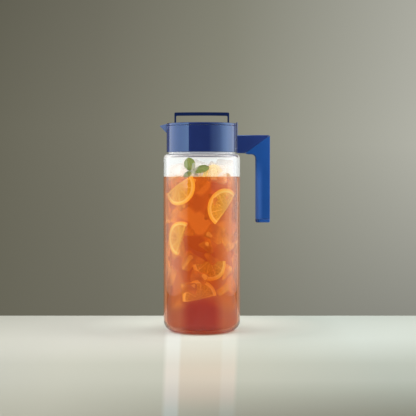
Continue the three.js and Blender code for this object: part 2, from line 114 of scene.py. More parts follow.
class Nodes:
    """A node tree, with short ways to add to it."""

    def __init__(self, tree: bpy.types.NodeTree) -> None:
        """Empties the tree and takes it over."""
        tree.nodes.clear()
        self.tree = tree

    def add(self, kind: str, settings: dict | None = None, **inputs: object) -> bpy.types.Node:
        """Adds a node, with its settings and its inputs.

        Args:
            kind: the node's type, without the ShaderNode that starts it.
            settings: attributes to set on the node.
            **inputs: socket names, with underscores for spaces, or in_0, in_1 for sockets by place. A
                value is set, and an output socket is linked.

        Returns:
            The new node.
        """
        node = self.tree.nodes.new(f"ShaderNode{kind}")
        for name, value in (settings or {}).items():
            setattr(node, name, value)
        for name, value in inputs.items():
            socket = node.inputs[int(name[3:]) if name.startswith("in_") else name.replace("_", " ")]
            if isinstance(value, Socket):
                self.tree.links.new(value, socket)
            else:
                socket.default_value = value
        return node

    def math(self, operation: str, *values: Socket | float) -> Socket:
        """Works out one step of arithmetic on its values."""
        inputs = {f"in_{place}": value for place, value in enumerate(values)}
        return self.add("Math", {"operation": operation}, **inputs).outputs[0]

    def vector(self, operation: str, output: str, *values: Socket | Point3) -> Socket:
        """Works out one step of arithmetic on vectors."""
        inputs = {f"in_{place}": value for place, value in enumerate(values)}
        return self.add("VectorMath", {"operation": operation}, **inputs).outputs[output]

    def mapped(
        self,
        value: Socket,
        low: float,
        high: float,
        start: Socket | float = 0.0,
        end: Socket | float = 1.0,
        steps: str = "LINEAR",
    ) -> Socket:
        """Maps a value to a range, and holds it there beyond both limits.

        Args:
            value: what is mapped.
            low: the lower limit.
            high: the upper limit.
            start: what it gives at the lower limit.
            end: what it gives at the upper limit.
            steps: how it goes from one to the other.

        Returns:
            The mapped value.
        """
        limits = {"From_Min": low, "From_Max": high, "To_Min": start, "To_Max": end}
        return self.add("MapRange", {"interpolation_type": steps}, Value=value, **limits).outputs["Result"]

    def spread(self, factor: Socket, start: Socket | float, end: Socket | float) -> Socket:
        """Maps a factor from 0 to 1 to a range."""
        return self.mapped(factor, 0.0, 1.0, start, end)

    def place(self) -> Socket:
        """Gives the object coordinates."""
        return self.add("TexCoord").outputs["Object"]

    def along(self, axis: str) -> Socket:
        """Gives the object coordinate along an axis."""
        return self.add("SeparateXYZ", Vector=self.place()).outputs[axis]

    def aside(self) -> Socket:
        """Gives how far a point lies to either side."""
        return self.math("ABSOLUTE", self.along("X"))

    def noise(self, grain_mm: float, detail: float = 2.0) -> Socket:
        """Gives noise whose grains have a size, with finer layers in it."""
        scale = 1 / (grain_mm * MM)
        return self.add("TexNoise", Vector=self.place(), Scale=scale, Detail=detail).outputs["Fac"]

    def bump(self, height: Socket, depth_mm: float) -> Socket:
        """Turns a height from 0 to 1 into a bumped normal."""
        return self.add("Bump", Height=height, Distance=depth_mm * MM).outputs["Normal"]

    def ramp(self, factor: Socket, *stops: Stop) -> Socket:
        """Colours a factor by stops, which are in order."""
        node = self.add("ValToRGB", Fac=factor)
        elements = node.color_ramp.elements
        for place, _ in stops[2:]:
            elements.new(place)
        for element, (place, colour) in zip(elements, stops):
            element.position = place
            element.color = linear(colour)
        return node.outputs["Color"]

    def mix(self, factor: Socket | float, first: object, second: object, blend: str = "MIX") -> Socket:
        """Mixes two colours.

        Args:
            factor: how much of the second there is, from 0 to 1.
            first: the first colour, or its socket.
            second: the second colour, or its socket.
            blend: the mixing mode.

        Returns:
            The mixed colour.
        """
        settings = {"data_type": "RGBA", "blend_type": blend}
        return self.add("Mix", settings, in_0=factor, in_6=first, in_7=second).outputs[2]

    def for_ray(self, ray: str, other: Socket, chosen: Socket) -> Socket:
        """Shows one kind of ray the chosen shader, and every other ray the other."""
        which = self.add("LightPath").outputs[ray]
        return self.add("MixShader", Fac=which, in_1=other, in_2=chosen).outputs[0]

    def rise(self, low_mm: float, high_mm: float, sag: float = 0.0) -> Socket:
        """Rises smoothly from 0 to 1 between two heights.

        Args:
            low_mm: where it leaves 0.
            high_mm: where it reaches 1.
            sag: how far both heights fall for each millimetre to the side.

        Returns:
            The factor.
        """
        height = self.math("MULTIPLY_ADD", self.aside(), sag, self.along("Z"))
        return self.mapped(height, low_mm * MM, high_mm * MM, steps="SMOOTHSTEP")

    def painted_light_across_tea(self, middle: str, flank: str, edge: str) -> Socket:
        """Paints the light from behind into the tea's colour: lighter where less of the tea lies in its way.

        Args:
            middle: the colour where the tea is thickest.
            flank: the colour on both flanks, painted lighter where the tea is thin and lit.
            edge: the colour at both edges, painted for where the light is bent away.

        Returns:
            The colour.
        """
        share = self.mapped(self.aside(), 0.0, Vessel.radius * MM)
        return self.ramp(share, (0.3, middle), (0.55, flank), (0.74, flank), (0.88, edge))


class Paint(Nodes):
    """A material that is being mixed."""

    def __init__(self, name: str) -> None:
        """Starts an empty material."""
        self.material = bpy.data.materials.new(name)
        self.material.use_nodes = True
        super().__init__(self.material.node_tree)

    def finish(self, shader: Socket) -> bpy.types.Material:
        """Sends a shader to the surface, and gives the material."""
        self.add("OutputMaterial", Surface=shader)
        return self.material

    def solid(self, **inputs: object) -> bpy.types.Material:
        """Gives the material as one principled shader."""
        return self.finish(self.add("BsdfPrincipled", **inputs).outputs[0])

    def clear(self, shade: str, **inputs: object) -> bpy.types.Material:
        """Gives a clear material, which leaves a shade on the lamps' light and casts no shadow."""
        shader = self.add("BsdfPrincipled", Transmission_Weight=1.0, **inputs).outputs[0]
        window = self.add("BsdfTransparent", Color=linear(shade)).outputs[0]
        return self.finish(self.for_ray("Is Shadow Ray", shader, window))


# Finishes


@dataclass(frozen=True)
class ClearCopolyester:
    """Clear copolyester, blow moulded and polished: sharp reflections, with a painted pale glow at the neck and
    a painted orange glow at the foot.
    """

    name: str = "clear_copolyester"
    ior: float = 1.57
    wave_mm: float = 18.0
    wave_depth_mm: float = 0.02
    polish_mm: float = 6.0
    polish: float = 0.03
    # Where the neck's painted glow rises and how strong it is, and the same for the foot's painted glow
    neck_low_mm: float = 234.5
    neck_high_mm: float = 239.5
    neck_painted_glow: float = 0.075
    foot_mm: float = 10.0
    foot_painted_glow: float = 0.06

    def material(self) -> bpy.types.Material:
        """Builds the glass-like material, with the painted glows at its neck and foot."""
        paint = Paint(self.name)
        # Painted light: the neck glows pale and the foot glows orange by emission, though the glass is no lamp
        neck = paint.rise(self.neck_low_mm, self.neck_high_mm)
        foot_painted_light = paint.spread(paint.rise(0.0, self.foot_mm), self.foot_painted_glow, 0.0)
        return paint.clear(
            "#FAFCFC",
            Base_Color=linear("#FCFEFE"),
            Roughness=paint.spread(paint.noise(self.polish_mm), 0.0, self.polish),
            IOR=self.ior,
            Emission_Color=paint.mix(neck, linear("#E04818"), linear("#FFFFFF")),
            Emission_Strength=paint.math("ADD", paint.spread(neck, 0.0, self.neck_painted_glow), foot_painted_light),
            Normal=paint.bump(paint.noise(self.wave_mm), self.wave_depth_mm),
        )


@dataclass(frozen=True)
class MouldedPlastic:
    """Injection-moulded plastic: one deep colour with a faint flow mottle and a fine moulded skin."""

    name: str
    colour: str
    mottle: str
    roughness_low: float
    roughness_high: float
    grain_mm: float = 1.6
    grain_depth_mm: float = 0.004
    sheen: float = 0.0
    specular: float = 0.5
    specular_tint: str = "#FFFFFF"
    subsurface: float = 0.0
    flow_mm: float = 14.0
    ior: float = 1.49
    depth_mm: float = 2.0

    def inputs(self, paint: Paint) -> dict[str, object]:
        """Gives the shader's inputs: two colours that flow into each other, and a fine bump."""
        flow = paint.noise(self.flow_mm, 3.0)
        grain = paint.noise(self.grain_mm, 4.0)
        return {
            "Base_Color": paint.ramp(flow, (0.35, self.colour), (0.7, self.mottle)),
            "Roughness": paint.spread(grain, self.roughness_low, self.roughness_high),
            "Normal": paint.bump(grain, self.grain_depth_mm),
            "IOR": self.ior,
            "Specular_IOR_Level": self.specular,
            "Specular_Tint": linear(self.specular_tint),
            "Sheen_Weight": self.sheen,
            "Subsurface_Weight": self.subsurface,
            "Subsurface_Scale": self.depth_mm * MM,
        }

    def material(self) -> bpy.types.Material:
        """Builds the material."""
        paint = Paint(self.name)
        return paint.solid(**self.inputs(paint))


@dataclass(frozen=True)
class GlossPolypropylene(MouldedPlastic):
    """High-gloss polypropylene: a deep blue that mirrors the lamps sharply."""

    roughness_low: float = 0.03
    roughness_high: float = 0.06
    grain_mm: float = 2.0
    grain_depth_mm: float = 0.0012
    specular: float = 1.0
    specular_tint: str = "#AED8FF"


@dataclass(frozen=True)
class GripSilicone(MouldedPlastic):
    """Moulded silicone: soft, with a painted highlight along its rounded inner edge."""

    # Where the painted highlight lies, how it fades and how strong it is
    band_mm: float = 78.0
    band_fade_mm: float = 4.5
    band_low_mm: float = 198.0
    band_high_mm: float = 238.0
    painted_band_glow: float = 0.19

    def inputs(self, paint: Paint) -> dict[str, object]:
        """Adds the painted highlight to the plastic, from the hand's height downwards."""
        # Painted highlight: a pale blue emission on the inner edge, fading outwards and upwards
        low, high = self.band_mm * MM, (self.band_mm + self.band_fade_mm) * MM
        inner = paint.mapped(paint.along("X"), low, high, self.painted_band_glow, 0.0)
        lower = paint.spread(paint.rise(self.band_low_mm, self.band_high_mm), 1.0, 0.0)
        painted_highlight = {"Emission_Color": linear("#6A93DC"), "Emission_Strength": paint.math("MULTIPLY", inner, lower)}
        return super().inputs(paint) | painted_highlight


@dataclass(frozen=True)
class PinSteel:
    """Turned stainless steel: bright, with fine rings left by the tool."""

    name: str = "turned_steel"
    ring_mm: float = 0.8

    def material(self) -> bpy.types.Material:
        """Builds the metal, with its tool marks across the pins' length."""
        paint = Paint(self.name)
        bands = {"Vector": paint.place(), "Scale": 1 / (self.ring_mm * MM), "Distortion": 1.5}
        rings = paint.add("TexWave", {"bands_direction": "X"}, **bands).outputs["Fac"]
        return paint.solid(
            Base_Color=linear("#B9BBBE"),
            Metallic=1.0,
            Roughness=paint.spread(rings, 0.22, 0.34),
            Normal=paint.bump(rings, 0.004),
        )


@dataclass(frozen=True)
class TeaLayer:
    """A depth of clear tea: it lets light through and leaves its amber on all that lies behind, with painted
    light in its tint.
    """

    name: str
    # Tints across the tea, with painted light on its flanks and edges, and the same lower down
    middle: str
    flank: str
    edge: str
    bottom: str
    bottom_flank: str
    shade: str  # what it leaves on the light of the lamps, once through
    dark_low_mm: float = 36.0
    dark_high_mm: float = 60.0
    sag: float = 0.36

    def material(self) -> bpy.types.Material:
        """Builds the layer, which bends nothing and mirrors nothing, so it only colours; its tint holds painted
        light.
        """
        paint = Paint(self.name)
        # Painted light: the tint is lighter on the flanks and edges, standing in for the light from behind that
        # crosses less tea there
        upper = paint.painted_light_across_tea(self.middle, self.flank, self.edge)
        lower = paint.painted_light_across_tea(self.bottom, self.bottom_flank, self.bottom_flank)
        tint = paint.mix(paint.rise(self.dark_low_mm, self.dark_high_mm, self.sag), lower, upper)
        return paint.clear(self.shade, Base_Color=tint, Roughness=0.0, IOR=1.0)


@dataclass(frozen=True)
class TeaBody:
    """The ice and fruit deep in the tea: a blur of pale and dark blocks, darker at the bottom, with painted
    backlight and a painted glow.
    """

    name: str = "tea_depth"
    bottom_mm: float = 40.0
    fade_mm: float = 20.0
    sag: float = 0.36
    block_mm: float = 22.0
    # The painted glow, as if lit from behind
    glow: float = 0.43

    def material(self) -> bpy.types.Material:
        """Builds the colour from the height and from cells as large as ice cubes, with painted light from
        behind.
        """
        paint = Paint(self.name)
        cells = {"Vector": paint.place(), "Scale": 1 / (self.block_mm * MM), "Smoothness": 0.4}
        cell = paint.add("TexVoronoi", {"feature": "SMOOTH_F1"}, **cells).outputs["Color"]
        shade = paint.add("SeparateXYZ", Vector=cell).outputs["X"]
        blocks = paint.ramp(shade, (0.1, "#C07C50"), (0.45, "#CC8C54"), (0.75, "#D8A064"), (0.95, "#E8B870"))
        # Painted light: the colour changes across the tea where the light from behind crosses less of it, and
        # glows by emission, though nothing here is a lamp
        lit = paint.mix(1.0, blocks, paint.painted_light_across_tea("#FFFFFF", "#FFF4DC", "#F0DCC8"), "MULTIPLY")
        rise = paint.rise(self.bottom_mm, self.bottom_mm + self.fade_mm, self.sag)
        colour = paint.mix(rise, paint.painted_light_across_tea("#B43810", "#BC8A6A", "#B47C5C"), lit)
        return paint.solid(
            Base_Color=colour,
            Roughness=paint.spread(shade, 0.4, 0.6),
            Specular_IOR_Level=0.1,
            Emission_Color=colour,
            Emission_Strength=self.glow,
        )


@dataclass(frozen=True)
class Ice:
    """Ice: see-through where it floats and milky where it is steeped, with a soft mottle and a painted glow."""

    name: str
    colour: str
    mottle: str
    alpha: float
    roughness: float
    grain_mm: float
    specular: float
    # The painted glow's strength
    glow: float

    def material(self) -> bpy.types.Material:
        """Builds the ice with an even alpha, a mottled tint and a painted glow of that tint."""
        paint = Paint(self.name)
        cloud = paint.noise(self.grain_mm)
        tint = paint.ramp(cloud, (0.3, self.colour), (0.7, self.mottle))
        return paint.solid(
            Base_Color=tint,
            # Painted light: the tint glows by emission, though ice is no lamp
            Emission_Color=tint,
            Emission_Strength=self.glow,
            Roughness=paint.spread(cloud, self.roughness, self.roughness + 0.1),
            Specular_IOR_Level=self.specular,
            Alpha=self.alpha,
            Normal=paint.bump(cloud, 0.3),
        )


@dataclass(frozen=True)
class LemonSection:
    """A cut lemon slice steeped in tea: bright rind, pale pith, and wedges of juicy fibres, with a painted
    glow.
    """

    name: str = "lemon_section"
    wedges: int = 10
    wall_share: float = 0.16
    fibres: float = 9.0
    rind_share: float = 0.92
    pith_share: float = 0.83
    rind_blur: float = 0.02
    pith_blur: float = 0.03
    # Painted light: the slices glow, more on the left than on the right, between two places along X
    glow_left: float = 0.44
    glow_right: float = 0.32
    glow_span_mm: tuple[float, float] = (-20.0, 10.0)
    tea_level_mm: float = 210.0
    tea_edge_mm: float = 1.0
    paler: float = 0.8

    def material(self) -> bpy.types.Material:
        """Builds the wheel on the slice's own UV map, whose middle is the slice's, paler above the tea, with a
        painted glow that is stronger on the left.
        """
        paint = Paint(self.name)
        uv = paint.add("UVMap").outputs["UV"]
        centred = paint.vector("SUBTRACT", "Vector", uv, (0.5, 0.5, 0.0))
        parts = paint.add("SeparateXYZ", Vector=centred).outputs
        radius = paint.math("MULTIPLY", paint.vector("LENGTH", "Value", centred), 2.0)
        turn = paint.math("ARCTAN2", parts["Y"], parts["X"])
        wedge = paint.math("PINGPONG", turn, math.pi / self.wedges)
        wall = paint.mapped(wedge, 0.0, self.wall_share * math.pi / self.wedges, 1.0, 0.0)
        spokes = paint.add("CombineXYZ", X=turn, Y=radius).outputs[0]
        grain = {"Vector": spokes, "Scale": self.fibres, "Detail": 3.0}
        fibres = paint.add("TexNoise", {"noise_dimensions": "2D"}, **grain).outputs["Fac"]
        flesh = paint.ramp(fibres, (0.3, "#CCA230"), (0.5, "#D8B440"), (0.72, "#E8CA54"))
        pith, rind = self.pith_share, self.rind_share
        edge = paint.ramp(radius, (pith - self.pith_blur, "#000000"), (pith, "#FFFFFF"))
        skin = paint.ramp(radius, (pith, "#F8F0B0"), (rind - self.rind_blur, "#F8E898"), (rind, "#F4D868"))
        steeped = paint.mix(edge, paint.mix(wall, flesh, linear("#F4E090")), skin)
        low, high = ((self.tea_level_mm + way * self.tea_edge_mm) * MM for way in (-1, 1))
        above = paint.mapped(paint.along("Z"), low, high, 0.0, self.paler)
        left, right = (edge * MM for edge in self.glow_span_mm)
        colour = paint.mix(above, steeped, linear("#F4CE74"))
        return paint.solid(
            Base_Color=colour,
            Roughness=paint.spread(fibres, 0.25, 0.45),
            # Painted light: the slice glows by its own colour, more on the left, though it is no lamp
            Emission_Color=colour,
            Emission_Strength=paint.mapped(paint.along("X"), left, right, self.glow_left, self.glow_right),
            Normal=paint.bump(fibres, 0.4),
        )


@dataclass(frozen=True)
class MintLeaf:
    """A fresh mint leaf: deep green between paler veins, with a soft gloss."""

    name: str = "mint_leaf"
    slant: float = 0.7
    vein_gap: float = 0.07
    vein_width: float = 0.05

    def material(self) -> bpy.types.Material:
        """Builds the veins on the leaf's own UV map, whose length runs from stalk to tip."""
        paint = Paint(self.name)
        parts = paint.add("SeparateXYZ", Vector=paint.add("UVMap").outputs["UV"]).outputs
        aside = paint.math("ABSOLUTE", paint.math("SUBTRACT", parts["Y"], 0.5))
        slanted = paint.math("MULTIPLY_ADD", aside, -self.slant, parts["X"])
        side_vein = paint.math("MULTIPLY", paint.math("PINGPONG", slanted, self.vein_gap), 2.0)
        vein = paint.mapped(paint.math("MINIMUM", side_vein, aside), 0.0, self.vein_width)
        return paint.solid(
            Base_Color=paint.ramp(vein, (0.0, "#D0D07C"), (0.5, "#A2AC3E"), (1.0, "#8A982A")),
            Roughness=paint.spread(vein, 0.5, 0.35),
            Subsurface_Weight=0.2,
            Subsurface_Scale=1 * MM,
            Normal=paint.bump(vein, 0.5),
        )


# Shapes from outlines


def arc(x: float, z: float, radius: float, start: float, end: float, steps: int = FILLET_STEPS) -> list[Point2]:
    """Lists the points of an arc.

    Args:
        x: centre across.
        z: centre up.
        radius: the arc's radius.
        start: first angle in degrees.
        end: last angle in degrees.
        steps: how many pieces it has.

    Returns:
        The points, both ends among them.
    """
    angles = [math.radians(start + (end - start) * i / steps) for i in range(steps + 1)]
    return [(x + radius * math.cos(a), z + radius * math.sin(a)) for a in angles]


def rounded(corners: list[Corner]) -> list[Point2]:
    """Rounds the corners of a closed outline.

    Args:
        corners: the outline's corners in order.

    Returns:
        The outline's points, with an arc at each corner whose radius isn't zero.
    """
    points: list[Point2] = []
    for i, (x, z, radius) in enumerate(corners):
        if radius == 0:
            points.append((x, z))
            continue
        here = Vector((x, z))
        back = (Vector(corners[i - 1][:2]) - here).normalized()
        on = (Vector(corners[(i + 1) % len(corners)][:2]) - here).normalized()
        half = back.angle(on) / 2
        reach = radius / math.tan(half)
        middle = here + (back + on).normalized() * (radius / math.sin(half))
        first, last = here + back * reach - middle, here + on * reach - middle
        turn = first.angle_signed(last)
        for step in range(FILLET_STEPS + 1):
            spoke = first.copy()
            spoke.rotate(Matrix.Rotation(-turn * step / FILLET_STEPS, 2))
            points.append(tuple(middle + spoke))
    return points


def turned(outline: list[Point2], steps: int = ROUND_STEPS) -> BMesh:
    """Spins an outline round the Z axis.

    Args:
        outline: a closed outline of radius and height.
        steps: how many pieces the full turn has.

    Returns:
        A closed shape in millimetres.
    """
    bm = bmesh.new()
    verts = [bm.verts.new((max(x, 0.0), 0.0, z)) for x, z in outline]
    for a, b in zip(verts, verts[1:] + verts[:1]):
        if a.co.x > 0 or b.co.x > 0:
            bm.edges.new((a, b))
    bmesh.ops.spin(
        bm,
        geom=bm.verts[:] + bm.edges[:],
        cent=(0, 0, 0),
        axis=(0, 0, 1),
        dvec=(0, 0, 0),
        angle=2 * math.pi,
        steps=steps,
        use_merge=True,
    )
    bmesh.ops.remove_doubles(bm, verts=bm.verts[:], dist=0.001)
    bmesh.ops.recalc_face_normals(bm, faces=bm.faces[:])
    return bm


def drum(radius: float, low: float, high: float) -> BMesh:
    """Makes a drum round the Z axis between two heights."""
    return turned([(0.0, low), (radius, low), (radius, high), (0.0, high)])


def push(bm: BMesh, faces: list[BMFace], way: Point3) -> None:
    """Pushes flat faces out to a closed shape.

    Args:
        bm: the shape.
        faces: its faces to push.
        way: how far they go.
    """
    pushed = bmesh.ops.extrude_face_region(bm, geom=faces)
    moved = [item for item in pushed["geom"] if isinstance(item, BMVert)]
    bmesh.ops.translate(bm, verts=moved, vec=way)
    bmesh.ops.recalc_face_normals(bm, faces=bm.faces[:])


def prism(points: list[Point3], way: Point3) -> BMesh:
    """Makes the closed shape between a flat outline and the same outline further on."""
    bm = bmesh.new()
    push(bm, [bm.faces.new([bm.verts.new(point) for point in points])], way)
    return bm


def pulled(outline: list[Point2], half_depth: float, bevel: float = 0.0, segments: int = 3) -> BMesh:
    """Pulls an upright outline to both sides along Y, with rounded rims.

    Args:
        outline: a closed outline of x and z.
        half_depth: how far it goes to each side.
        bevel: radius of both rims.
        segments: pieces of each rounding.

    Returns:
        A closed shape in millimetres.
    """
    bm = prism([(x, -half_depth, z) for x, z in outline], (0, 2 * half_depth, 0))
    if bevel:
        rims = [e for e in bm.edges if abs(e.verts[0].co.y - e.verts[1].co.y) < bevel / 10]
        soften(bm, rims, bevel, segments)
    return bm


def sector(inner: float, outer: float, low: float, high: float, start: float, end: float) -> BMesh:
    """Makes a piece of a ring, to cut with.

    Args:
        inner: inner radius.
        outer: outer radius.
        low: lower height.
        high: upper height.
        start: first angle in degrees.
        end: last angle in degrees.

    Returns:
        A closed shape in millimetres.
    """
    steps = max(4, round((end - start) / 360 * ROUND_STEPS))
    edge = arc(0, 0, outer, start, end, steps) + arc(0, 0, inner, end, start, steps)
    return prism([(x, y, low) for x, y in edge], (0, 0, high - low))


def soften(bm: BMesh, edges: list[BMEdge], width: float, segments: int = 2) -> None:
    """Rounds edges.

    Args:
        bm: the shape.
        edges: its edges to round.
        width: the rounding's radius.
        segments: pieces of the rounding.
    """
    bmesh.ops.bevel(
        bm,
        geom=edges,
        offset=width,
        offset_type="OFFSET",
        segments=segments,
        profile=0.5,
        affect="EDGES",
        clamp_overlap=True,
        material=-1,
    )


def block(first: Point3, second: Point3, bevel: float) -> BMesh:
    """Makes a box between two opposite corners, with rounded edges.

    Args:
        first: one corner.
        second: the opposite corner.
        bevel: radius of its edges.

    Returns:
        A closed shape in millimetres.
    """
    low, high = (Vector([pick(pair) for pair in zip(first, second)]) for pick in (min, max))
    bm = bmesh.new()
    bmesh.ops.create_cube(bm, size=1.0)
    bmesh.ops.scale(bm, verts=bm.verts[:], vec=high - low)
    bmesh.ops.translate(bm, verts=bm.verts[:], vec=(low + high) / 2)
    if bevel:
        soften(bm, bm.edges[:], bevel)
    return bm


def wrapped(points: list[Point3]) -> BMesh:
    """Spans a convex shape over points in millimetres."""
    bm = bmesh.new()
    for point in points:
        bm.verts.new(point)
    spanned = bmesh.ops.convex_hull(bm, input=bm.verts[:])
    loose = [v for v in spanned["geom_interior"] if isinstance(v, BMVert)]
    bmesh.ops.delete(bm, geom=loose, context="VERTS")
    bmesh.ops.recalc_face_normals(bm, faces=bm.faces[:])
    return bm


def bar_along_x(radius: float, start: float, end: float, height: float) -> BMesh:
    """Makes a round bar along X.

    Args:
        radius: the bar's radius.
        start: x of one end.
        end: x of the other end.
        height: its axis above the base.

    Returns:
        A closed shape in millimetres.
    """
    bm = bmesh.new()
    length = abs(end - start)
    bmesh.ops.create_cone(bm, cap_ends=True, segments=32, radius1=radius, radius2=radius, depth=length)
    spin(bm, math.pi / 2, "Y")
    bmesh.ops.translate(bm, verts=bm.verts[:], vec=((start + end) / 2, 0, height))
    return bm


def spin(bm: BMesh, angle: float, axis: str, verts: list[BMVert] | None = None) -> None:
    """Turns a shape, or some of its points, about an axis through the origin."""
    turn = Matrix.Rotation(angle, 3, axis)
    bmesh.ops.rotate(bm, verts=verts or bm.verts[:], cent=(0, 0, 0), matrix=turn)


def weld(bm: BMesh, gap: float, bend: float) -> None:
    """Joins points that are closer than a gap, and faces that bend less than an angle in degrees."""
    bmesh.ops.remove_doubles(bm, verts=bm.verts[:], dist=gap)
    bmesh.ops.dissolve_limit(bm, angle_limit=math.radians(bend), verts=bm.verts[:], edges=bm.edges[:])


def smooth(mesh: bpy.types.Mesh) -> None:
    """Shades a mesh smooth except at its corners."""
    mesh.shade_smooth()
    mesh.set_sharp_from_angle(angle=SMOOTH_ANGLE)


def rank(parts: bmesh.types.BMElemSeq, key: Callable[[object], list[float]]) -> None:
    """Sorts parts of a shape by a list of numbers."""
    places = {part: place for place, part in enumerate(sorted(parts, key=key))}
    parts.sort(key=places.get)
    parts.index_update()


def put_in_order(bm: BMesh) -> None:
    """Sorts a shape by place, because Blender's own order changes from run to run."""
    rank(bm.verts, lambda vert: [round(c, 3) for c in vert.co])
    for parts in (bm.edges, bm.faces):
        rank(parts, lambda part: sorted(vert.index for vert in part.verts))


def mesh_of(bm: BMesh, name: str) -> bpy.types.Object:
    """Makes an object in metres of a shape in millimetres.

    Args:
        bm: the shape, which is freed.
        name: the object's name.

    Returns:
        The object, at the origin, smooth except at its corners.
    """
    put_in_order(bm)
    bmesh.ops.scale(bm, verts=bm.verts[:], vec=(MM, MM, MM))
    mesh = bpy.data.meshes.new(name)
    bm.to_mesh(mesh)
    bm.free()
    smooth(mesh)
    made = bpy.data.objects.new(name, mesh)
    bpy.context.scene.collection.objects.link(made)
    return made


def shape_of(mesh: bpy.types.Mesh) -> BMesh:
    """Copies a mesh in metres to a shape in millimetres."""
    bm = bmesh.new()
    bm.from_mesh(mesh)
    bmesh.ops.scale(bm, verts=bm.verts[:], vec=(1 / MM, 1 / MM, 1 / MM))
    return bm


def discard(item: bpy.types.Object) -> None:
    """Removes an object with its mesh."""
    mesh = item.data
    bpy.data.objects.remove(item)
    bpy.data.meshes.remove(mesh)


def undone(item: bpy.types.Object) -> BMesh:
    """Turns an object back into a shape in millimetres, and removes it."""
    bm = shape_of(item.data)
    discard(item)
    return bm


def combine(base: bpy.types.Object, tools: list[BMesh], operation: str = "DIFFERENCE") -> bpy.types.Object:
    """Cuts shapes from an object, or keeps what it shares with them.

    Args:
        base: the object, whose mesh is changed.
        tools: the shapes in millimetres, used in order and freed.
        operation: DIFFERENCE or INTERSECT.

    Returns:
        The same object.
    """
    for count, shape in enumerate(tools):
        tool = mesh_of(shape, f"{base.name}_tool_{count}")
        worker = base.modifiers.new("combine", "BOOLEAN")
        worker.operation = operation
        worker.solver = "EXACT"
        worker.object = tool
        graph = bpy.context.evaluated_depsgraph_get()
        result = bpy.data.meshes.new_from_object(base.evaluated_get(graph))
        base.modifiers.clear()
        old = base.data
        base.data = result
        bpy.data.meshes.remove(old)
        discard(tool)
    smooth(base.data)
    return base


def join_meshes(base: bpy.types.Object, others: list[bpy.types.Object]) -> bpy.types.Object:
    """Puts several objects' meshes in one.

    Args:
        base: the object that stays.
        others: the objects whose meshes it takes over, and which are removed.

    Returns:
        The object.
    """
    bm = bmesh.new()
    for item in [base, *others]:
        bm.from_mesh(item.data)
    bm.to_mesh(base.data)
    bm.free()
    for item in others:
        discard(item)
    smooth(base.data)
    return base


def add_shape(bm: BMesh, piece: BMesh) -> None:
    """Adds a piece to a shape, and frees the piece."""
    spare = bpy.data.meshes.new("spare")
    piece.to_mesh(spare)
    piece.free()
    bm.from_mesh(spare)
    bpy.data.meshes.remove(spare)


def copy_of(node: str, name: str) -> bpy.types.Object:
    """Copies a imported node's mesh, welds it and smooths it between its corners.

    Args:
        node: the node's name.
        name: the copy's name.

    Returns:
        The copy, at the origin.
    """
    bm = shape_of(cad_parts[node].data)
    weld(bm, WELD_GAP, FLAT_DEGREES)
    for layer in list(bm.loops.layers.float_vector.values()):
        bm.loops.layers.float_vector.remove(layer)
    return mesh_of(bm, name)


@dataclass(frozen=True)
class Finish:
    """A material, and the material slot that it belongs to."""

    material: bpy.types.Material
    slot: Slot


def fit(piece: bpy.types.Object, finish: Finish, body: Body, *nodes: str) -> bpy.types.Object:
    """Dresses a piece, seats it on its body and reports it.

    Args:
        piece: the finished object.
        finish: what it is made of.
        body: what it moves with.
        *nodes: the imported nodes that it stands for.

    Returns:
        The piece.
    """
    piece.data.materials.clear()
    piece.data.materials.append(finish.material)
    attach(piece, body.value)
    if nodes:
        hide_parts(*nodes)
    log.info("%s: %d faces, on %s", piece.name, len(piece.data.polygons), body.value)
    return piece


def fit_copy(node: str, name: str, finish: Finish, body: Body) -> bpy.types.Object:
    """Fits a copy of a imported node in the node's own place, and gives the piece."""
    return fit(copy_of(node, name), finish, body, node)


# The pitcher's pieces


class Finishes:
    """Every finish of the pitcher, made once."""

    def __init__(self) -> None:
        """Mixes the materials."""
        self.clear = Finish(ClearCopolyester().material(), Slot.CLEAR)
        gloss = GlossPolypropylene("gloss_polypropylene", "#1F2C5E", "#212F63")
        self.gloss = Finish(gloss.material(), Slot.GLOSS)
        # The same polypropylene on the bail, in a darker blue: painted shade where the lamps leave it darker
        bail = GlossPolypropylene("bail_polypropylene_painted_shade", "#132148", "#15244C", specular=0.6)
        self.bail = Finish(bail.material(), Slot.GLOSS)
        # The same polypropylene on the arm's flat faces, which mirror no lamp, in a lighter blue: painted light
        arm = GlossPolypropylene("arm_polypropylene_painted_light", "#253773", "#273A78", 0.05, 0.09)
        self.arm = Finish(arm.material(), Slot.GLOSS)
        # Moulded silicone: a brighter blue with a broad soft shine and a painted highlight along its inner edge
        grip = GripSilicone(
            "moulded_silicone", "#0C4690", "#0F4B96", 0.34, 0.42, 0.9, 0.012, sheen=0.03, specular=0.35
        )
        self.grip = Finish(grip.material(), Slot.GRIP)
        # Polypropylene with an even satin: the handle's end cap
        cap = MouldedPlastic("satin_polypropylene", "#174C98", "#1A519F", 0.2, 0.28, 1.2, 0.006)
        self.cap = Finish(cap.material(), Slot.CAP)
        # Pale silicone: milky and soft
        seal = MouldedPlastic("seal_silicone", "#DEE2E3", "#E6E9EA", 0.35, 0.45, 1.0, 0.006, subsurface=0.2)
        self.seal = Finish(seal.material(), Slot.SEAL)
        self.steel = Finish(PinSteel().material(), Slot.STEEL)


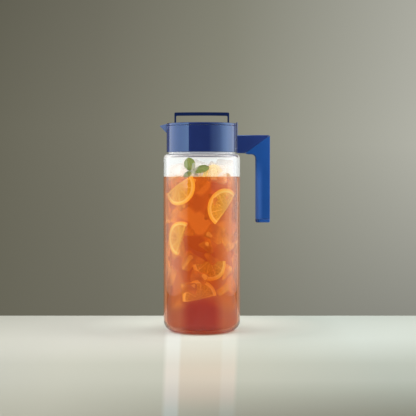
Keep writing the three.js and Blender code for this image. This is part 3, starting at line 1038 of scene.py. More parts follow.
@dataclass
class Vessel:
    """The clear cylinder with its rounded base, shoulder and neck, and the seal on its rim."""

    finishes: Finishes
    radius: float = 52.0
    wall: float = 2.6
    floor: float = 3.4
    base_corner: float = 14.5
    base_steps: int = 16
    shoulder_top: float = 241.0
    shoulder_corner: float = 6.4
    shoulder_steps: int = 10
    neck_radius: float = 45.1
    mouth_radius: float = 42.9
    neck_top: float = 265.5
    bead_middle: float = 253.5
    bead_half: float = 1.2
    bead_depth: float = 0.5

    def outline(self) -> list[Point2]:
        """Draws the wall's section, outside first."""
        corner_x, corner_z = self.radius - self.base_corner, self.base_corner
        inner = self.base_corner - self.wall
        shoulder_x = self.radius - self.shoulder_corner
        shoulder_z = self.shoulder_top - self.shoulder_corner
        return [
            (0.0, 0.0),
            *arc(corner_x, corner_z, self.base_corner, -90, 0, self.base_steps),
            *arc(shoulder_x, shoulder_z, self.shoulder_corner, 0, 90, self.shoulder_steps),
            (self.neck_radius, self.shoulder_top),
            (self.neck_radius, self.bead_middle - self.bead_half),
            (self.neck_radius + self.bead_depth, self.bead_middle),
            (self.neck_radius, self.bead_middle + self.bead_half),
            (self.neck_radius, self.neck_top),
            (self.mouth_radius, self.neck_top),
            (self.mouth_radius, self.shoulder_top - self.wall),
            *arc(shoulder_x, shoulder_z, self.shoulder_corner - self.wall, 90, 0, self.shoulder_steps),
            *arc(corner_x, self.floor + inner, inner, 0, -90, self.base_steps),
            (0.0, self.floor),
        ]

    def build(self) -> None:
        """Makes the vessel and the seal on its rim."""
        shell = mesh_of(turned(self.outline()), "vessel_wall")
        fit(shell, self.finishes.clear, Body.PITCHER, "pitcher_body")
        fit_copy("neck_seal", "neck_gasket", self.finishes.seal, Body.PITCHER)


@dataclass
class Collar:
    """The blue collar with its ledge, grooves, pouring port and beak."""

    finishes: Finishes
    radius: float = 47.85
    bore: float = 45.4
    low: float = 242.8
    high: float = 278.4
    edge: float = 0.6
    wall_margin: float = 0.3  # keeps the roundings' shading off the straight wall
    small_edge: float = 0.2
    rebate_radius: float = 45.3
    rebate_depth: float = 1.2
    mouth_radius: float = 42.9
    ledge_low: float = 266.9
    bead_middle: float = 253.5
    bead_half: float = 1.5
    bead_depth: float = 0.5
    groove_inner: float = 42.1
    groove_outer: float = 44.8
    groove_low: float = 268.7
    groove_high: float = 272.1
    groove_angles: tuple[float, float] = (120.0, 300.0)
    groove_half: float = 6.0
    groove_turn: float = 90.0
    port_sill: float = 269.3
    port_half_width: float = 9.0
    port_inner: float = 42.5
    beak_reach: float = 8.95
    beak_half: float = 13.0
    beak_tip_rise: float = 0.6
    beak_root_rise: float = 2.8
    beak_drop: float = 9.8
    keel_width: float = 5.0
    tip_width: float = 1.6
    beak_wall: float = 1.4
    trough_lap: float = 0.4
    lid_top: float = 281.9
    overrun: float = 2.0
    fit_gap: float = 0.3

    def outline(self) -> list[Point2]:
        """Draws the collar's section from its lower inside edge."""
        straight = self.edge + self.wall_margin
        return rounded(
            [
                (self.bore, self.low, self.small_edge),
                (self.radius, self.low, self.edge),
                (self.radius, self.low + straight, 0.0),
                (self.radius, self.high - straight, 0.0),
                (self.radius, self.high, self.edge),
                (self.rebate_radius, self.high, self.small_edge),
                (self.rebate_radius, self.high - self.rebate_depth, 0.0),
                (self.mouth_radius, self.high - self.rebate_depth, self.small_edge),
                (self.mouth_radius, self.ledge_low, self.small_edge),
                (self.bore, self.ledge_low, 0.0),
                (self.bore, self.bead_middle + self.bead_half, 0.0),
                (self.bore + self.bead_depth, self.bead_middle, 0.0),
                (self.bore, self.bead_middle - self.bead_half, 0.0),
            ]
        )

    def beak_form(self, inset: float, root: float, high: float) -> BMesh:
        """Spans the beak from its root to its tip.

        Args:
            inset: how far its sides are drawn in.
            root: x of its root.
            high: height of its open top.

        Returns:
            The closed form.
        """
        drawn = math.sqrt(2) * inset
        tip = -(self.radius + self.beak_reach - drawn)
        keel = self.high - self.beak_drop + 2 * inset
        lip = self.high + self.beak_tip_rise
        points = []
        for side in (-1, 1):
            edge = side * (self.beak_half - drawn)
            ridge = side * (self.keel_width / 2 - inset)
            points += [
                (root, edge, self.high + self.beak_root_rise),
                (root, edge, high),
                (root, ridge, keel),
                (-(self.radius - self.edge), ridge, keel),
                (tip, side * self.tip_width / 2, lip - self.tip_width / 2),
                (tip, side * self.tip_width / 2, max(lip, high - self.beak_root_rise + self.beak_tip_rise)),
            ]
        return wrapped(points)

    def trough(self) -> BMesh:
        """Spans the channel that leads up the beak."""
        above = self.high + self.beak_root_rise + 2 * self.overrun
        return self.beak_form(self.beak_wall, -(self.bore - self.trough_lap), above)

    def beak(self) -> bpy.types.Object:
        """Makes the beak's shell outside the collar."""
        root = -(math.sqrt(self.radius**2 - self.beak_half**2) - self.edge)
        shell = mesh_of(self.beak_form(0.0, root, self.high + self.beak_root_rise), "beak")
        above = self.lid_top + self.overrun
        clear_of_lid = drum(self.radius + self.fit_gap, self.high, above)
        clear_of_bore = drum(self.radius - self.edge, self.high - self.beak_drop - self.overrun, above)
        return combine(shell, [clear_of_lid, clear_of_bore, self.trough()])

    def build(self) -> None:
        """Makes the collar with its beak."""
        ring = mesh_of(turned(self.outline()), "collar")
        half = math.degrees(math.asin(self.port_half_width / self.mouth_radius))
        above = self.high + self.beak_root_rise + self.overrun
        port = sector(self.port_inner, self.bore, self.port_sill, above, 180 - half, 180 + half)
        cutters = [port, self.trough()]
        inner, outer, low = self.groove_inner, self.groove_outer, self.groove_low
        for angle in self.groove_angles:
            start, end = angle - self.groove_half, angle + self.groove_half
            cutters += [
                sector(inner, outer, low, above, start, end),
                sector(inner, outer, low, self.groove_high, start - self.groove_turn, end),
            ]
        combine(ring, cutters)
        join_meshes(ring, [self.beak()])
        fit(ring, self.finishes.gloss, Body.PITCHER, "spout_collar")


@dataclass
class Handle:
    """The arm with its back plate, the soft grip round its core, the end cap and the two screws."""

    finishes: Finishes
    grip_inner: float = 72.8
    grip_outer: float = 92.0
    arm_low: float = 241.6
    arm_high: float = 266.0
    mitre_foot: float = 58.0
    undercut: float = 1.4
    undercut_run: float = 5.0
    inner_corner: float = 5.0
    outer_corner: float = 0.54
    grip_half: float = 10.5
    grip_edge: float = 1.6
    grip_edge_steps: int = 5
    finger_radius: float = 8.5
    finger_fade: float = 16.0
    finger_steps: int = 14
    finger_lift: float = 0.02  # keeps the rounding's cuts off the grip's flat sides
    skin_low: float = 152.7
    skin: float = 2.1
    mitre_gap: float = 0.3
    overrun: float = 2.0

    def grip_outline(self, inset: float, low: float) -> list[Point2]:
        """Draws the grip from the foot of the slanting joint round to its top.

        Args:
            inset: how far it is drawn in.
            low: height of its lower end.

        Returns:
            The outline's points.
        """
        under = self.arm_low - self.undercut + inset
        slope = (self.arm_high - self.arm_low) / (self.grip_outer - self.mitre_foot)
        foot = self.mitre_foot + self.mitre_gap * math.sqrt(1 + 1 / slope**2)
        outer = self.grip_outer - inset
        return rounded(
            [
                (foot, self.arm_low + inset, 0.0),
                (self.mitre_foot + self.undercut_run, under, 0.0),
                (self.grip_inner + inset, under, self.inner_corner),
                (self.grip_inner + inset, low, 0.0),
                (outer, low, 0.0),
                (outer, self.arm_low + (outer - foot) * slope, self.outer_corner),
            ]
        )

    def finger_rounding(self, side: int, inset: float) -> BMesh:
        """Shapes what the rounding for the fingers takes off an inner edge, fading out below the corner.

        Args:
            side: -1 for the front edge and 1 for the back edge.
            inset: how far the edge lies inside the grip's.

        Returns:
            The closed shape to cut with.
        """
        past, low = self.overrun, self.skin_low
        x = self.grip_inner + inset - self.finger_lift
        y = side * (self.grip_half - inset + self.finger_lift)
        radius = self.finger_radius - inset
        high = self.arm_low - self.undercut - self.inner_corner

        def level(size: float, height: float) -> list[Point3]:
            """Lists the rounding's points at one height."""
            curve = arc(x + size, y - side * size, size, 180, 180 - side * 90, self.finger_steps)
            return [(a, b, height) for a, b in curve]

        def flanks(height: float) -> list[Point3]:
            """Lists the corners that lie inside the grip at one height."""
            far_x, far_y = x + radius + past, y - side * (radius + past)
            return [(x, far_y, height), (far_x, far_y, height), (far_x, y, height)]

        bottom = low - 2 * past
        ends = level(radius, bottom) + flanks(bottom) + level(self.grip_edge, high) + flanks(high)
        kept = wrapped(ends + level(radius, high - self.finger_fade))
        taken = block((x - past, y - side * radius, low - past), (x + radius, y + side * past, high), 0.0)
        return undone(combine(mesh_of(taken, "taken"), [kept]))

    def build(self) -> None:
        """Makes the handle's pieces."""
        arm = fit_copy("handle_frame", "handle_arm", self.finishes.arm, Body.PITCHER)
        outline = self.grip_outline(0.0, self.skin_low)
        outside = pulled(outline, self.grip_half, self.grip_edge, self.grip_edge_steps)
        inside = pulled(self.grip_outline(self.skin, self.skin_low - self.overrun), self.grip_half - self.skin)
        hollow = combine(mesh_of(inside, "hollow"), [self.finger_rounding(side, self.skin) for side in (-1, 1)])
        roundings = [self.finger_rounding(side, 0.0) for side in (-1, 1)]
        sleeve = combine(mesh_of(outside, "soft_grip"), [*roundings, undone(hollow)])
        fit(sleeve, self.finishes.grip, Body.PITCHER, "handle_grip")
        cap = fit_copy("handle_end_cap", "grip_end_cap", self.finishes.cap, Body.PITCHER)
        for piece in (arm, sleeve, cap):
            piece.visible_glossy = False
        for side in ("lower", "upper"):
            fit_copy(f"handle_screw_{side}", f"arm_screw_{side}", self.finishes.steel, Body.PITCHER)


@dataclass
class Lid:
    """The lid: its cover with the bail's recess, the plug, gasket, rim seal and pins, and the bail."""

    finishes: Finishes
    flange_radius: float = 47.85
    seat: float = 278.7
    top: float = 281.9
    flange_edge: float = 0.9
    flange_under_edge: float = 0.25
    recess_radius: float = 40.9
    recess_edge: float = 0.4
    recess_corner: float = 0.6
    floor: float = 276.4
    floor_thickness: float = 1.5
    plug_radius: float = 42.5
    plug_edge: float = 0.3
    seal_bore: float = 43.2
    seal_radius: float = 45.0
    seal_grip: float = 0.7
    boss_inside: float = 37.35
    boss_outside: float = 41.5
    boss_half: float = 4.5
    boss_top: float = 281.5
    boss_edge: float = 0.5
    boss_sink: float = 0.1
    pivot: float = 279.3
    pin_hole: float = 1.4
    pin_reach: float = 40.7
    bail_half: float = 37.05
    arm_thickness: float = 2.3
    bar_thickness: float = 4.4
    bail_top: float = 297.0
    crown: float = 0.35
    crown_steps: int = 12
    bail_corner: float = 1.4
    bail_half_depth: float = 5.0
    hub_radius: float = 2.6
    hub_steps: int = 16
    bail_edge: float = 0.45
    bail_edge_steps: int = 3
    bail_gap: float = 0.01
    bail_flat: float = 1.0
    bail_sharp: float = 50.0
    overrun: float = 2.0

    def cover_outline(self) -> list[Point2]:
        """Draws the cover's section from the middle of its underside."""
        low = self.floor - self.floor_thickness
        return [
            (0.0, low),
            *rounded(
                [
                    (self.plug_radius, low, self.plug_edge),
                    (self.plug_radius, self.seat, 0.0),
                    (self.seal_bore, self.seat, 0.0),
                    (self.seal_bore, self.seat + self.seal_grip, 0.0),
                    (self.seal_radius, self.seat + self.seal_grip, 0.0),
                    (self.seal_radius, self.seat, 0.0),
                    (self.flange_radius, self.seat, self.flange_under_edge),
                    (self.flange_radius, self.top, self.flange_edge),
                    (self.recess_radius, self.top, self.recess_edge),
                    (self.recess_radius, self.floor, self.recess_corner),
                ]
            ),
            (0.0, self.floor),
        ]

    def cover(self) -> bpy.types.Object:
        """Makes the cover with the two bosses that hold the pins."""
        shell = mesh_of(turned(self.cover_outline()), "lid_cap")
        bosses = []
        for side in (-1, 1):
            inner = (side * self.boss_inside, -self.boss_half, self.floor - self.boss_sink)
            outer = (side * self.boss_outside, self.boss_half, self.boss_top)
            made = mesh_of(block(inner, outer, self.boss_edge), f"boss_{side}")
            start, end = side * (self.boss_inside - self.overrun), side * self.pin_reach
            bosses.append(combine(made, [bar_along_x(self.pin_hole, start, end, self.pivot)]))
        return join_meshes(shell, bosses)

    def bar_outline(self, half: float, height: float, corner: float) -> list[Point2]:
        """Draws the top of the bail, right to left, with its slight arch.

        Args:
            half: half its width.
            height: its height at the sides.
            corner: radius of its corners.

        Returns:
            The outline's points.
        """
        flat = half - corner
        along = [flat - 2 * flat * i / self.crown_steps for i in range(1, self.crown_steps)]
        return [
            *arc(flat, height - corner, corner, 0, 90),
            *[(x, height + self.crown * (1 - (x / half) ** 2)) for x in along],
            *arc(-flat, height - corner, corner, 90, 180),
        ]

    def bail(self) -> bpy.types.Object:
        """Makes the bail: a flat bar on two arms that narrow to their hubs."""
        low = self.pivot - self.hub_radius
        height = self.bail_top - self.crown
        inside = self.bail_half - self.arm_thickness
        under = height - self.bar_thickness
        outline = [
            (self.bail_half, low),
            *self.bar_outline(self.bail_half, height, self.bail_corner),
            (-self.bail_half, low),
            (-inside, low),
            *reversed(self.bar_outline(inside, under, self.bail_corner)),
            (inside, low),
        ]
        strap = mesh_of(pulled(outline, self.bail_half_depth), "bail_strap")
        profile = [
            *arc(0, self.pivot, self.hub_radius, 180, 360, self.hub_steps),
            (self.bail_half_depth, under),
            (self.bail_half_depth, self.bail_top + self.overrun),
            (-self.bail_half_depth, self.bail_top + self.overrun),
            (-self.bail_half_depth, under),
        ]
        reach = self.bail_half + self.overrun
        side = prism([(-reach, y, z) for y, z in profile], (2 * reach, 0, 0))
        softened = undone(combine(strap, [side], "INTERSECT"))
        weld(softened, self.bail_gap, self.bail_flat)
        paired = [edge for edge in softened.edges if len(edge.link_faces) == 2]
        sharp = [edge for edge in paired if edge.calc_face_angle(0.0) > math.radians(self.bail_sharp)]
        soften(softened, sharp, self.bail_edge, self.bail_edge_steps)
        hole = bar_along_x(self.pin_hole, -reach, reach, self.pivot)
        return combine(mesh_of(softened, "bail_strap"), [hole])

    def build(self) -> None:
        """Makes the lid's pieces and the bail."""
        fit(self.cover(), self.finishes.gloss, Body.LID, "lid_cover")
        fit_copy("lid_plug", "bayonet_plug", self.finishes.gloss, Body.LID)
        fit_copy("rim_seal", "flange_seal", self.finishes.seal, Body.LID)
        fit_copy("lid_gasket", "plug_gasket", self.finishes.seal, Body.GASKET)
        for side in ("left", "right"):
            fit_copy(f"bail_pin_{side}", f"hinge_pin_{side}", self.finishes.steel, Body.LID)
        fit(self.bail(), self.finishes.bail, Body.BAIL, "lid_bail")


# What is in the pitcher


def fill(shape: BMesh, name: str, material: bpy.types.Material) -> None:
    """Puts a shape in the pitcher as a piece of what it holds."""
    fit(mesh_of(shape, name), Finish(material, Slot.CLEAR), Body.PITCHER)


@dataclass
class Tea:
    """Iced tea with its ice cubes."""

    level: float = 210.0
    core_radius: float = 43.0
    core_gap: float = 0.5
    core_drop: float = 1.5
    core_lip: Point2 = (5.0, 4.5)
    core_steps: int = 96
    corner_steps: int = 10
    bulk_radius: float = 47.8
    bulk_floor: float = 4.0
    bulk_corner: float = 10.3
    skin_radius: float = 50.7
    skin_floor: float = 1.3
    skin_corner: float = 13.2
    layer_steps: int = 12
    dark_top: float = 42.0
    dark_fade: float = 18.0
    dark_step: Point2 = (1.5, 10.0)
    cube: float = 24.0
    cube_edge: float = 3.0
    size_range: Point2 = (0.8, 1.1)
    place_slack: float = 0.2
    tilt_slack: float = 0.6
    reach_range: Point2 = (0.9, 1.06)
    height_slack: float = 5.0
    levels: int = 8
    per_level: int = 6
    cube_reach: float = 35.0
    cube_limit: float = 48.6
    top_cubes_drop: float = 14.0
    afloat_rise: float = 5.0
    afloat_reach: float = 31.0
    seed: int = 11

    def core(self) -> BMesh:
        """Turns the dense middle of the tea, nearly full width near the floor."""
        low, wide = self.bulk_floor + self.core_gap, self.bulk_radius - self.core_gap
        radius, corner, top = self.core_radius, self.bulk_corner, self.level - self.core_drop
        outline = [
            (0.0, low),
            *arc(wide - corner, low + corner, corner, -90, 0, self.corner_steps),
            (wide, self.dark_top),
            (radius + self.dark_step[0], self.dark_top + self.dark_step[1]),
            (radius, self.dark_top + self.dark_fade),
            (radius, top - self.core_lip[1]),
            (radius - self.core_lip[0], top),
            (0.0, top),
        ]
        return turned(outline, self.core_steps)

    def layer(self, radius: float, floor: float, corner: float, high: float) -> BMesh:
        """Turns the outside of a body of clear tea.

        Args:
            radius: how far it lies from the axis.
            floor: height of its underside.
            corner: radius of its lower edge.
            high: height of its top.

        Returns:
            The closed shape.
        """
        foot = arc(radius - corner, floor + corner, corner, -90, 0, self.layer_steps)
        return turned([(0.0, floor), *foot, (radius, high), (0.0, high)])

    def cubes(self, low: float, high: float, rings: int, reach: float, draw: random.Random) -> BMesh:
        """Piles ice cubes round the axis.

        Args:
            low: height of the lowest ring.
            high: height of the highest ring.
            rings: how many rings there are.
            reach: how far the cubes' middles lie from the axis.
            draw: source of the random places.

        Returns:
            All the cubes in one shape.
        """
        bm = bmesh.new()
        for row in range(rings):
            middle = low + (high - low) * row / max(1, rings - 1)
            for index in range(self.per_level):
                size = self.cube * draw.uniform(*self.size_range)
                made = bmesh.ops.create_cube(bm, size=size)["verts"]
                step = index + 0.5 * (row % 2) + draw.uniform(-self.place_slack, self.place_slack)
                angle = 2 * math.pi * step / self.per_level
                tilt = [draw.uniform(-self.tilt_slack, self.tilt_slack) for _ in range(3)]
                distance = reach * draw.uniform(*self.reach_range)
                height = middle + draw.uniform(-self.height_slack, self.height_slack)
                bmesh.ops.rotate(bm, verts=made, cent=(0, 0, 0), matrix=Euler(tilt).to_matrix())
                spin(bm, angle, "Z", made)
                place = (distance * math.cos(angle), distance * math.sin(angle), height)
                bmesh.ops.translate(bm, verts=made, vec=place)
        soften(bm, bm.edges[:], self.cube_edge, 3)
        for vert in bm.verts:
            shrink = min(1.0, self.cube_limit / math.hypot(vert.co.x, vert.co.y))
            vert.co.x *= shrink
            vert.co.y *= shrink
        return bm

    def build(self) -> None:
        """Makes the tea and the ice."""
        draw = random.Random(self.seed)
        fill(self.core(), "tea_core", TeaBody().material())
        low, high = self.dark_top + self.dark_fade, self.level - self.top_cubes_drop
        sunk = self.cubes(low, high, self.levels, self.cube_reach, draw)
        steeped = Ice("steeped_ice", "#F2C468", "#CC9050", 1.0, 0.15, 16.0, 0.2, 0.34)
        fill(sunk, "sunken_ice", steeped.material())
        low = self.level + self.afloat_rise
        afloat = self.cubes(low, low, 1, self.afloat_reach, draw)
        clear = Ice("clear_ice", "#FFFCF6", "#F6E8D4", 0.3, 0.05, 9.0, 0.5, 0.3)
        fill(afloat, "floating_ice", clear.material())
        light = TeaLayer("brewed_tea", "#F8A45E", "#FFC06C", "#D08458", "#DC7040", "#EE9C78", "#FFCE94")
        skin = self.layer(self.skin_radius, self.skin_floor, self.skin_corner, self.level)
        fill(skin, "tea_veil", light.material())
        deep = TeaLayer("deeper_tea", "#DCA06A", "#F2D8A2", "#E0B890", "#D29068", "#E8B898", "#E9CCA9")
        bulk = self.layer(self.bulk_radius, self.bulk_floor, self.bulk_corner, self.level - self.core_gap)
        fill(bulk, "tea_depths", deep.material())


@dataclass(frozen=True)
class Slice:
    """Where a lemon slice lies by the wall, its spin, tip and depth in the tea, and whether it is whole."""

    turn: float
    height: float
    radius: float
    spin: float = 0.0
    tip: float = 0.0
    depth: float = 0.0
    whole: bool = False


@dataclass(frozen=True)
class Leaf:
    """A mint leaf: its tip, its widest part and where its upper side looks."""

    tip: Point3
    width: float
    facing: Point3


@dataclass
class Fruit:
    """Lemon slices and the sprig of mint."""

    thickness: float = 4.0
    face_radius: float = 49.0
    steps: int = 64
    past_half: float = 1.5
    rim: float = 1.2
    bends: int = 9
    slices: tuple[Slice, ...] = (
        Slice(-40.2, 197.5, 25.5, spin=-150.0),
        Slice(40.0, 167.9, 26.2, spin=49.0),
        Slice(-34.4, 127.6, 22.8, spin=69.4),
        Slice(15.0, 99.5, 27.0, tip=10.0, depth=1.6, whole=True),
        Slice(-3.7, 49.0, 24.5, spin=12.0, tip=2.0, depth=1.6),
        Slice(73.0, 114.0, 10.0, spin=-60.0),
        Slice(-78.0, 168.0, 21.0, spin=110.0),
        Slice(24.0, 207.0, 19.0, spin=40.0, depth=9.0),
        Slice(-114.0, 100.0, 23.0, whole=True),
        Slice(-160.0, 164.0, 24.0, spin=30.0),
        Slice(145.0, 118.0, 23.0, whole=True),
        Slice(118.0, 170.0, 23.0, spin=-60.0),
        Slice(176.0, 70.0, 22.0, spin=140.0),
    )
    leaf_grid: tuple[int, int] = (18, 8)
    leaf_lean: float = 1.15
    leaf_fullness: float = 0.55
    leaf_thickness: float = 0.5
    leaf_arch: float = 1.6
    leaf_cup: float = 5.0
    leaf_ripple: float = 0.5
    leaf_ripples: float = 40.0
    joint: Point3 = (-12.0, -43.0, 216.5)
    leaves: tuple[Leaf, ...] = (
        Leaf((-18.5, -42.0, 235.0), 14.8, (-0.2, -1.0, 0.15)),
        Leaf((9.8, -43.0, 223.0), 11.0, (0.1, -1.0, 0.5)),
        Leaf((-24.0, -40.0, 210.5), 8.0, (-0.3, -1.0, 0.6)),
        Leaf((-6.0, -32.0, 212.0), 9.0, (0.0, -0.6, 1.0)),
    )

    def cut_across(self, piece: BMesh, place: Point3, normal: Point3, halve: bool = False) -> None:
        """Cuts edges across a slice.

        Args:
            piece: the slice.
            place: a point of the cut.
            normal: the cut's normal.
            halve: whether what lies behind the cut goes.
        """
        everything = piece.verts[:] + piece.edges[:] + piece.faces[:]
        bmesh.ops.bisect_plane(piece, geom=everything, plane_co=place, plane_no=normal, clear_inner=halve)

    def lemon_slice(self, place: Slice) -> BMesh:
        """Makes one slice, whole or half, bent along the wall, with the UV map that its pattern follows.

        Args:
            place: where it lies.

        Returns:
            The slice.
        """
        piece = bmesh.new()
        bmesh.ops.create_circle(piece, cap_ends=True, segments=self.steps, radius=place.radius)
        if not place.whole:
            self.cut_across(piece, (0, -self.past_half, 0), (0, 1, 0), True)
        bmesh.ops.inset_region(piece, faces=piece.faces[:], thickness=self.rim, depth=0.0)
        for count in range(1 - self.bends, self.bends):
            self.cut_across(piece, (place.radius * count / self.bends, 0, 0), (1, 0, 0))
        push(piece, piece.faces[:], (0, 0, -self.thickness))
        uv = piece.loops.layers.uv.new("UVMap")
        for loop in (loop for face in piece.faces for loop in face.loops):
            loop[uv].uv = (0.5 + c / (2 * place.radius) for c in loop.vert.co.xy)
        bmesh.ops.triangulate(piece, faces=piece.faces[:])
        spin(piece, math.radians(place.spin), "Z")
        for vert in piece.verts:
            sunk = (vert.co.y + place.radius) * math.tan(math.radians(place.tip)) - vert.co.z
            reach = self.face_radius - place.depth - max(0.0, sunk)
            angle = math.radians(place.turn) + vert.co.x / self.face_radius
            vert.co = (reach * math.sin(angle), -reach * math.cos(angle), place.height + vert.co.y)
        return piece

    def mint_leaf(self, leaf: Leaf) -> BMesh:
        """Makes one leaf, cupped along its middle.

        Args:
            leaf: its tip, width and side.

        Returns:
            The leaf, grown from the joint.
        """
        piece = bmesh.new()
        columns, rows = self.leaf_grid
        bmesh.ops.create_grid(piece, x_segments=columns, y_segments=rows, size=0.5, calc_uvs=True)
        uv = piece.loops.layers.uv.verify()
        for loop in (loop for face in piece.faces for loop in face.loops):
            loop[uv].uv = (0.5 + c for c in loop.vert.co.xy)
        foot, tip = Vector(self.joint), Vector(leaf.tip)
        length = (tip - foot).length
        for vert in piece.verts:
            along, aside = vert.co.x + 0.5, vert.co.y
            swell = 0.0
            if 0 < along < 1:
                swell = math.sin(math.pi * along**self.leaf_lean) ** self.leaf_fullness
            ripple = self.leaf_ripple * math.sin(along * self.leaf_ripples) * abs(aside)
            height = self.leaf_arch * math.sin(math.pi * along) - self.leaf_cup * aside * aside + ripple
            vert.co = (along * length, aside * leaf.width * swell, height)
        bmesh.ops.solidify(piece, geom=piece.faces[:], thickness=self.leaf_thickness)
        lengthways = (tip - foot).normalized()
        aside = Vector(leaf.facing).cross(lengthways).normalized()
        turn = Matrix((lengthways, aside, lengthways.cross(aside))).transposed().to_4x4()
        bmesh.ops.transform(piece, matrix=Matrix.Translation(foot) @ turn, verts=piece.verts[:])
        return piece

    def build(self) -> None:
        """Makes the slices and the mint."""
        lemon, mint = bmesh.new(), bmesh.new()
        for place in self.slices:
            add_shape(lemon, self.lemon_slice(place))
        fill(lemon, "lemon_slices", LemonSection().material())
        for leaf in self.leaves:
            add_shape(mint, self.mint_leaf(leaf))
        fill(mint, "mint_sprig", MintLeaf().material())


# The studio


@dataclass(frozen=True)
class Softbox:
    """A lamp, in metres, with an even face or one that gradients shade."""

    name: str
    place: Point3
    aim: Point3
    size: Point2
    radiance: float  # 1 is white
    in_gloss: bool = True
    shades: tuple[tuple[Stop, ...], ...] = ()  # across it, across the part that the vessel mirrors, and up it
    split: tuple[float, float] = (0.26, 0.285)

    def shade(self, light: bpy.types.Light) -> None:
        """Lays the gradients on the lamp's face."""
        light.use_nodes = True
        nodes = Nodes(light.node_tree)
        upper, lower, rise = self.shades
        face = nodes.add("NewGeometry").outputs["Parametric"]
        parts = nodes.add("SeparateXYZ", Vector=face).outputs
        part = nodes.ramp(parts["Y"], (self.split[0], "#000000"), (self.split[1], "#FFFFFF"))
        across = nodes.mix(part, nodes.ramp(parts["X"], *lower), nodes.ramp(parts["X"], *upper))
        both = nodes.mix(1.0, across, nodes.ramp(parts["Y"], *rise), "MULTIPLY")
        nodes.add("OutputLight", Surface=nodes.add("Emission", Color=both, Strength=1.0).outputs[0])

    def hang(self) -> None:
        """Hangs the lamp, which neither the camera nor clear plastic shows."""
        light = bpy.data.lights.new(self.name, "AREA")
        light.shape = "RECTANGLE"
        light.size, light.size_y = self.size
        light.energy = self.radiance * math.pi * self.size[0] * self.size[1]
        if self.shades:
            self.shade(light)
        lamp = bpy.data.objects.new(self.name, light)
        lamp.location = self.place
        lamp.rotation_euler = (Vector(self.aim) - Vector(self.place)).to_track_quat("-Z", "Y").to_euler()
        lamp.visible_camera = False
        lamp.visible_transmission = False
        lamp.visible_glossy = self.in_gloss
        bpy.context.scene.collection.objects.link(lamp)


def greys(*stops: tuple[float, int]) -> tuple[Stop, ...]:
    """Makes stops of grey from places and shades, where 255 is white."""
    return tuple((place, f"#{shade:02X}{shade:02X}{shade:02X}") for place, shade in stops)


# What the two large softboxes show across their faces, across their lower parts and up them
LEFT_SHADES = (
    greys((0.08, 0x20), (0.2, 0xD8), (0.35, 0xE4), (0.64, 0xE0), (0.96, 0xFF)),
    greys((0.05, 0x70), (0.35, 0xD0), (0.51, 0xE8), (0.64, 0xDC), (0.78, 0xA8), (0.96, 0x7C)),
    greys((0.0, 0xA0), (0.06, 0xE0), (0.26, 0xE4), (0.285, 0xFF)),
)
RIGHT_SHADES = (
    (
        *greys((0.0, 0x10), (0.38, 0x7C), (0.5, 0x9E), (0.59, 0xD8)),
        *greys((0.68, 0xF0), (0.78, 0xD8), (0.86, 0xC0), (0.93, 0x20)),
    ),
    greys((0.0, 0x10), (0.38, 0x5C), (0.5, 0x78), (0.59, 0xB4), (0.68, 0xF0), (0.78, 0xF4), (0.92, 0xA0)),
    greys((0.0, 0x8A), (0.06, 0xD0), (0.26, 0xD8), (0.285, 0xFF)),
)


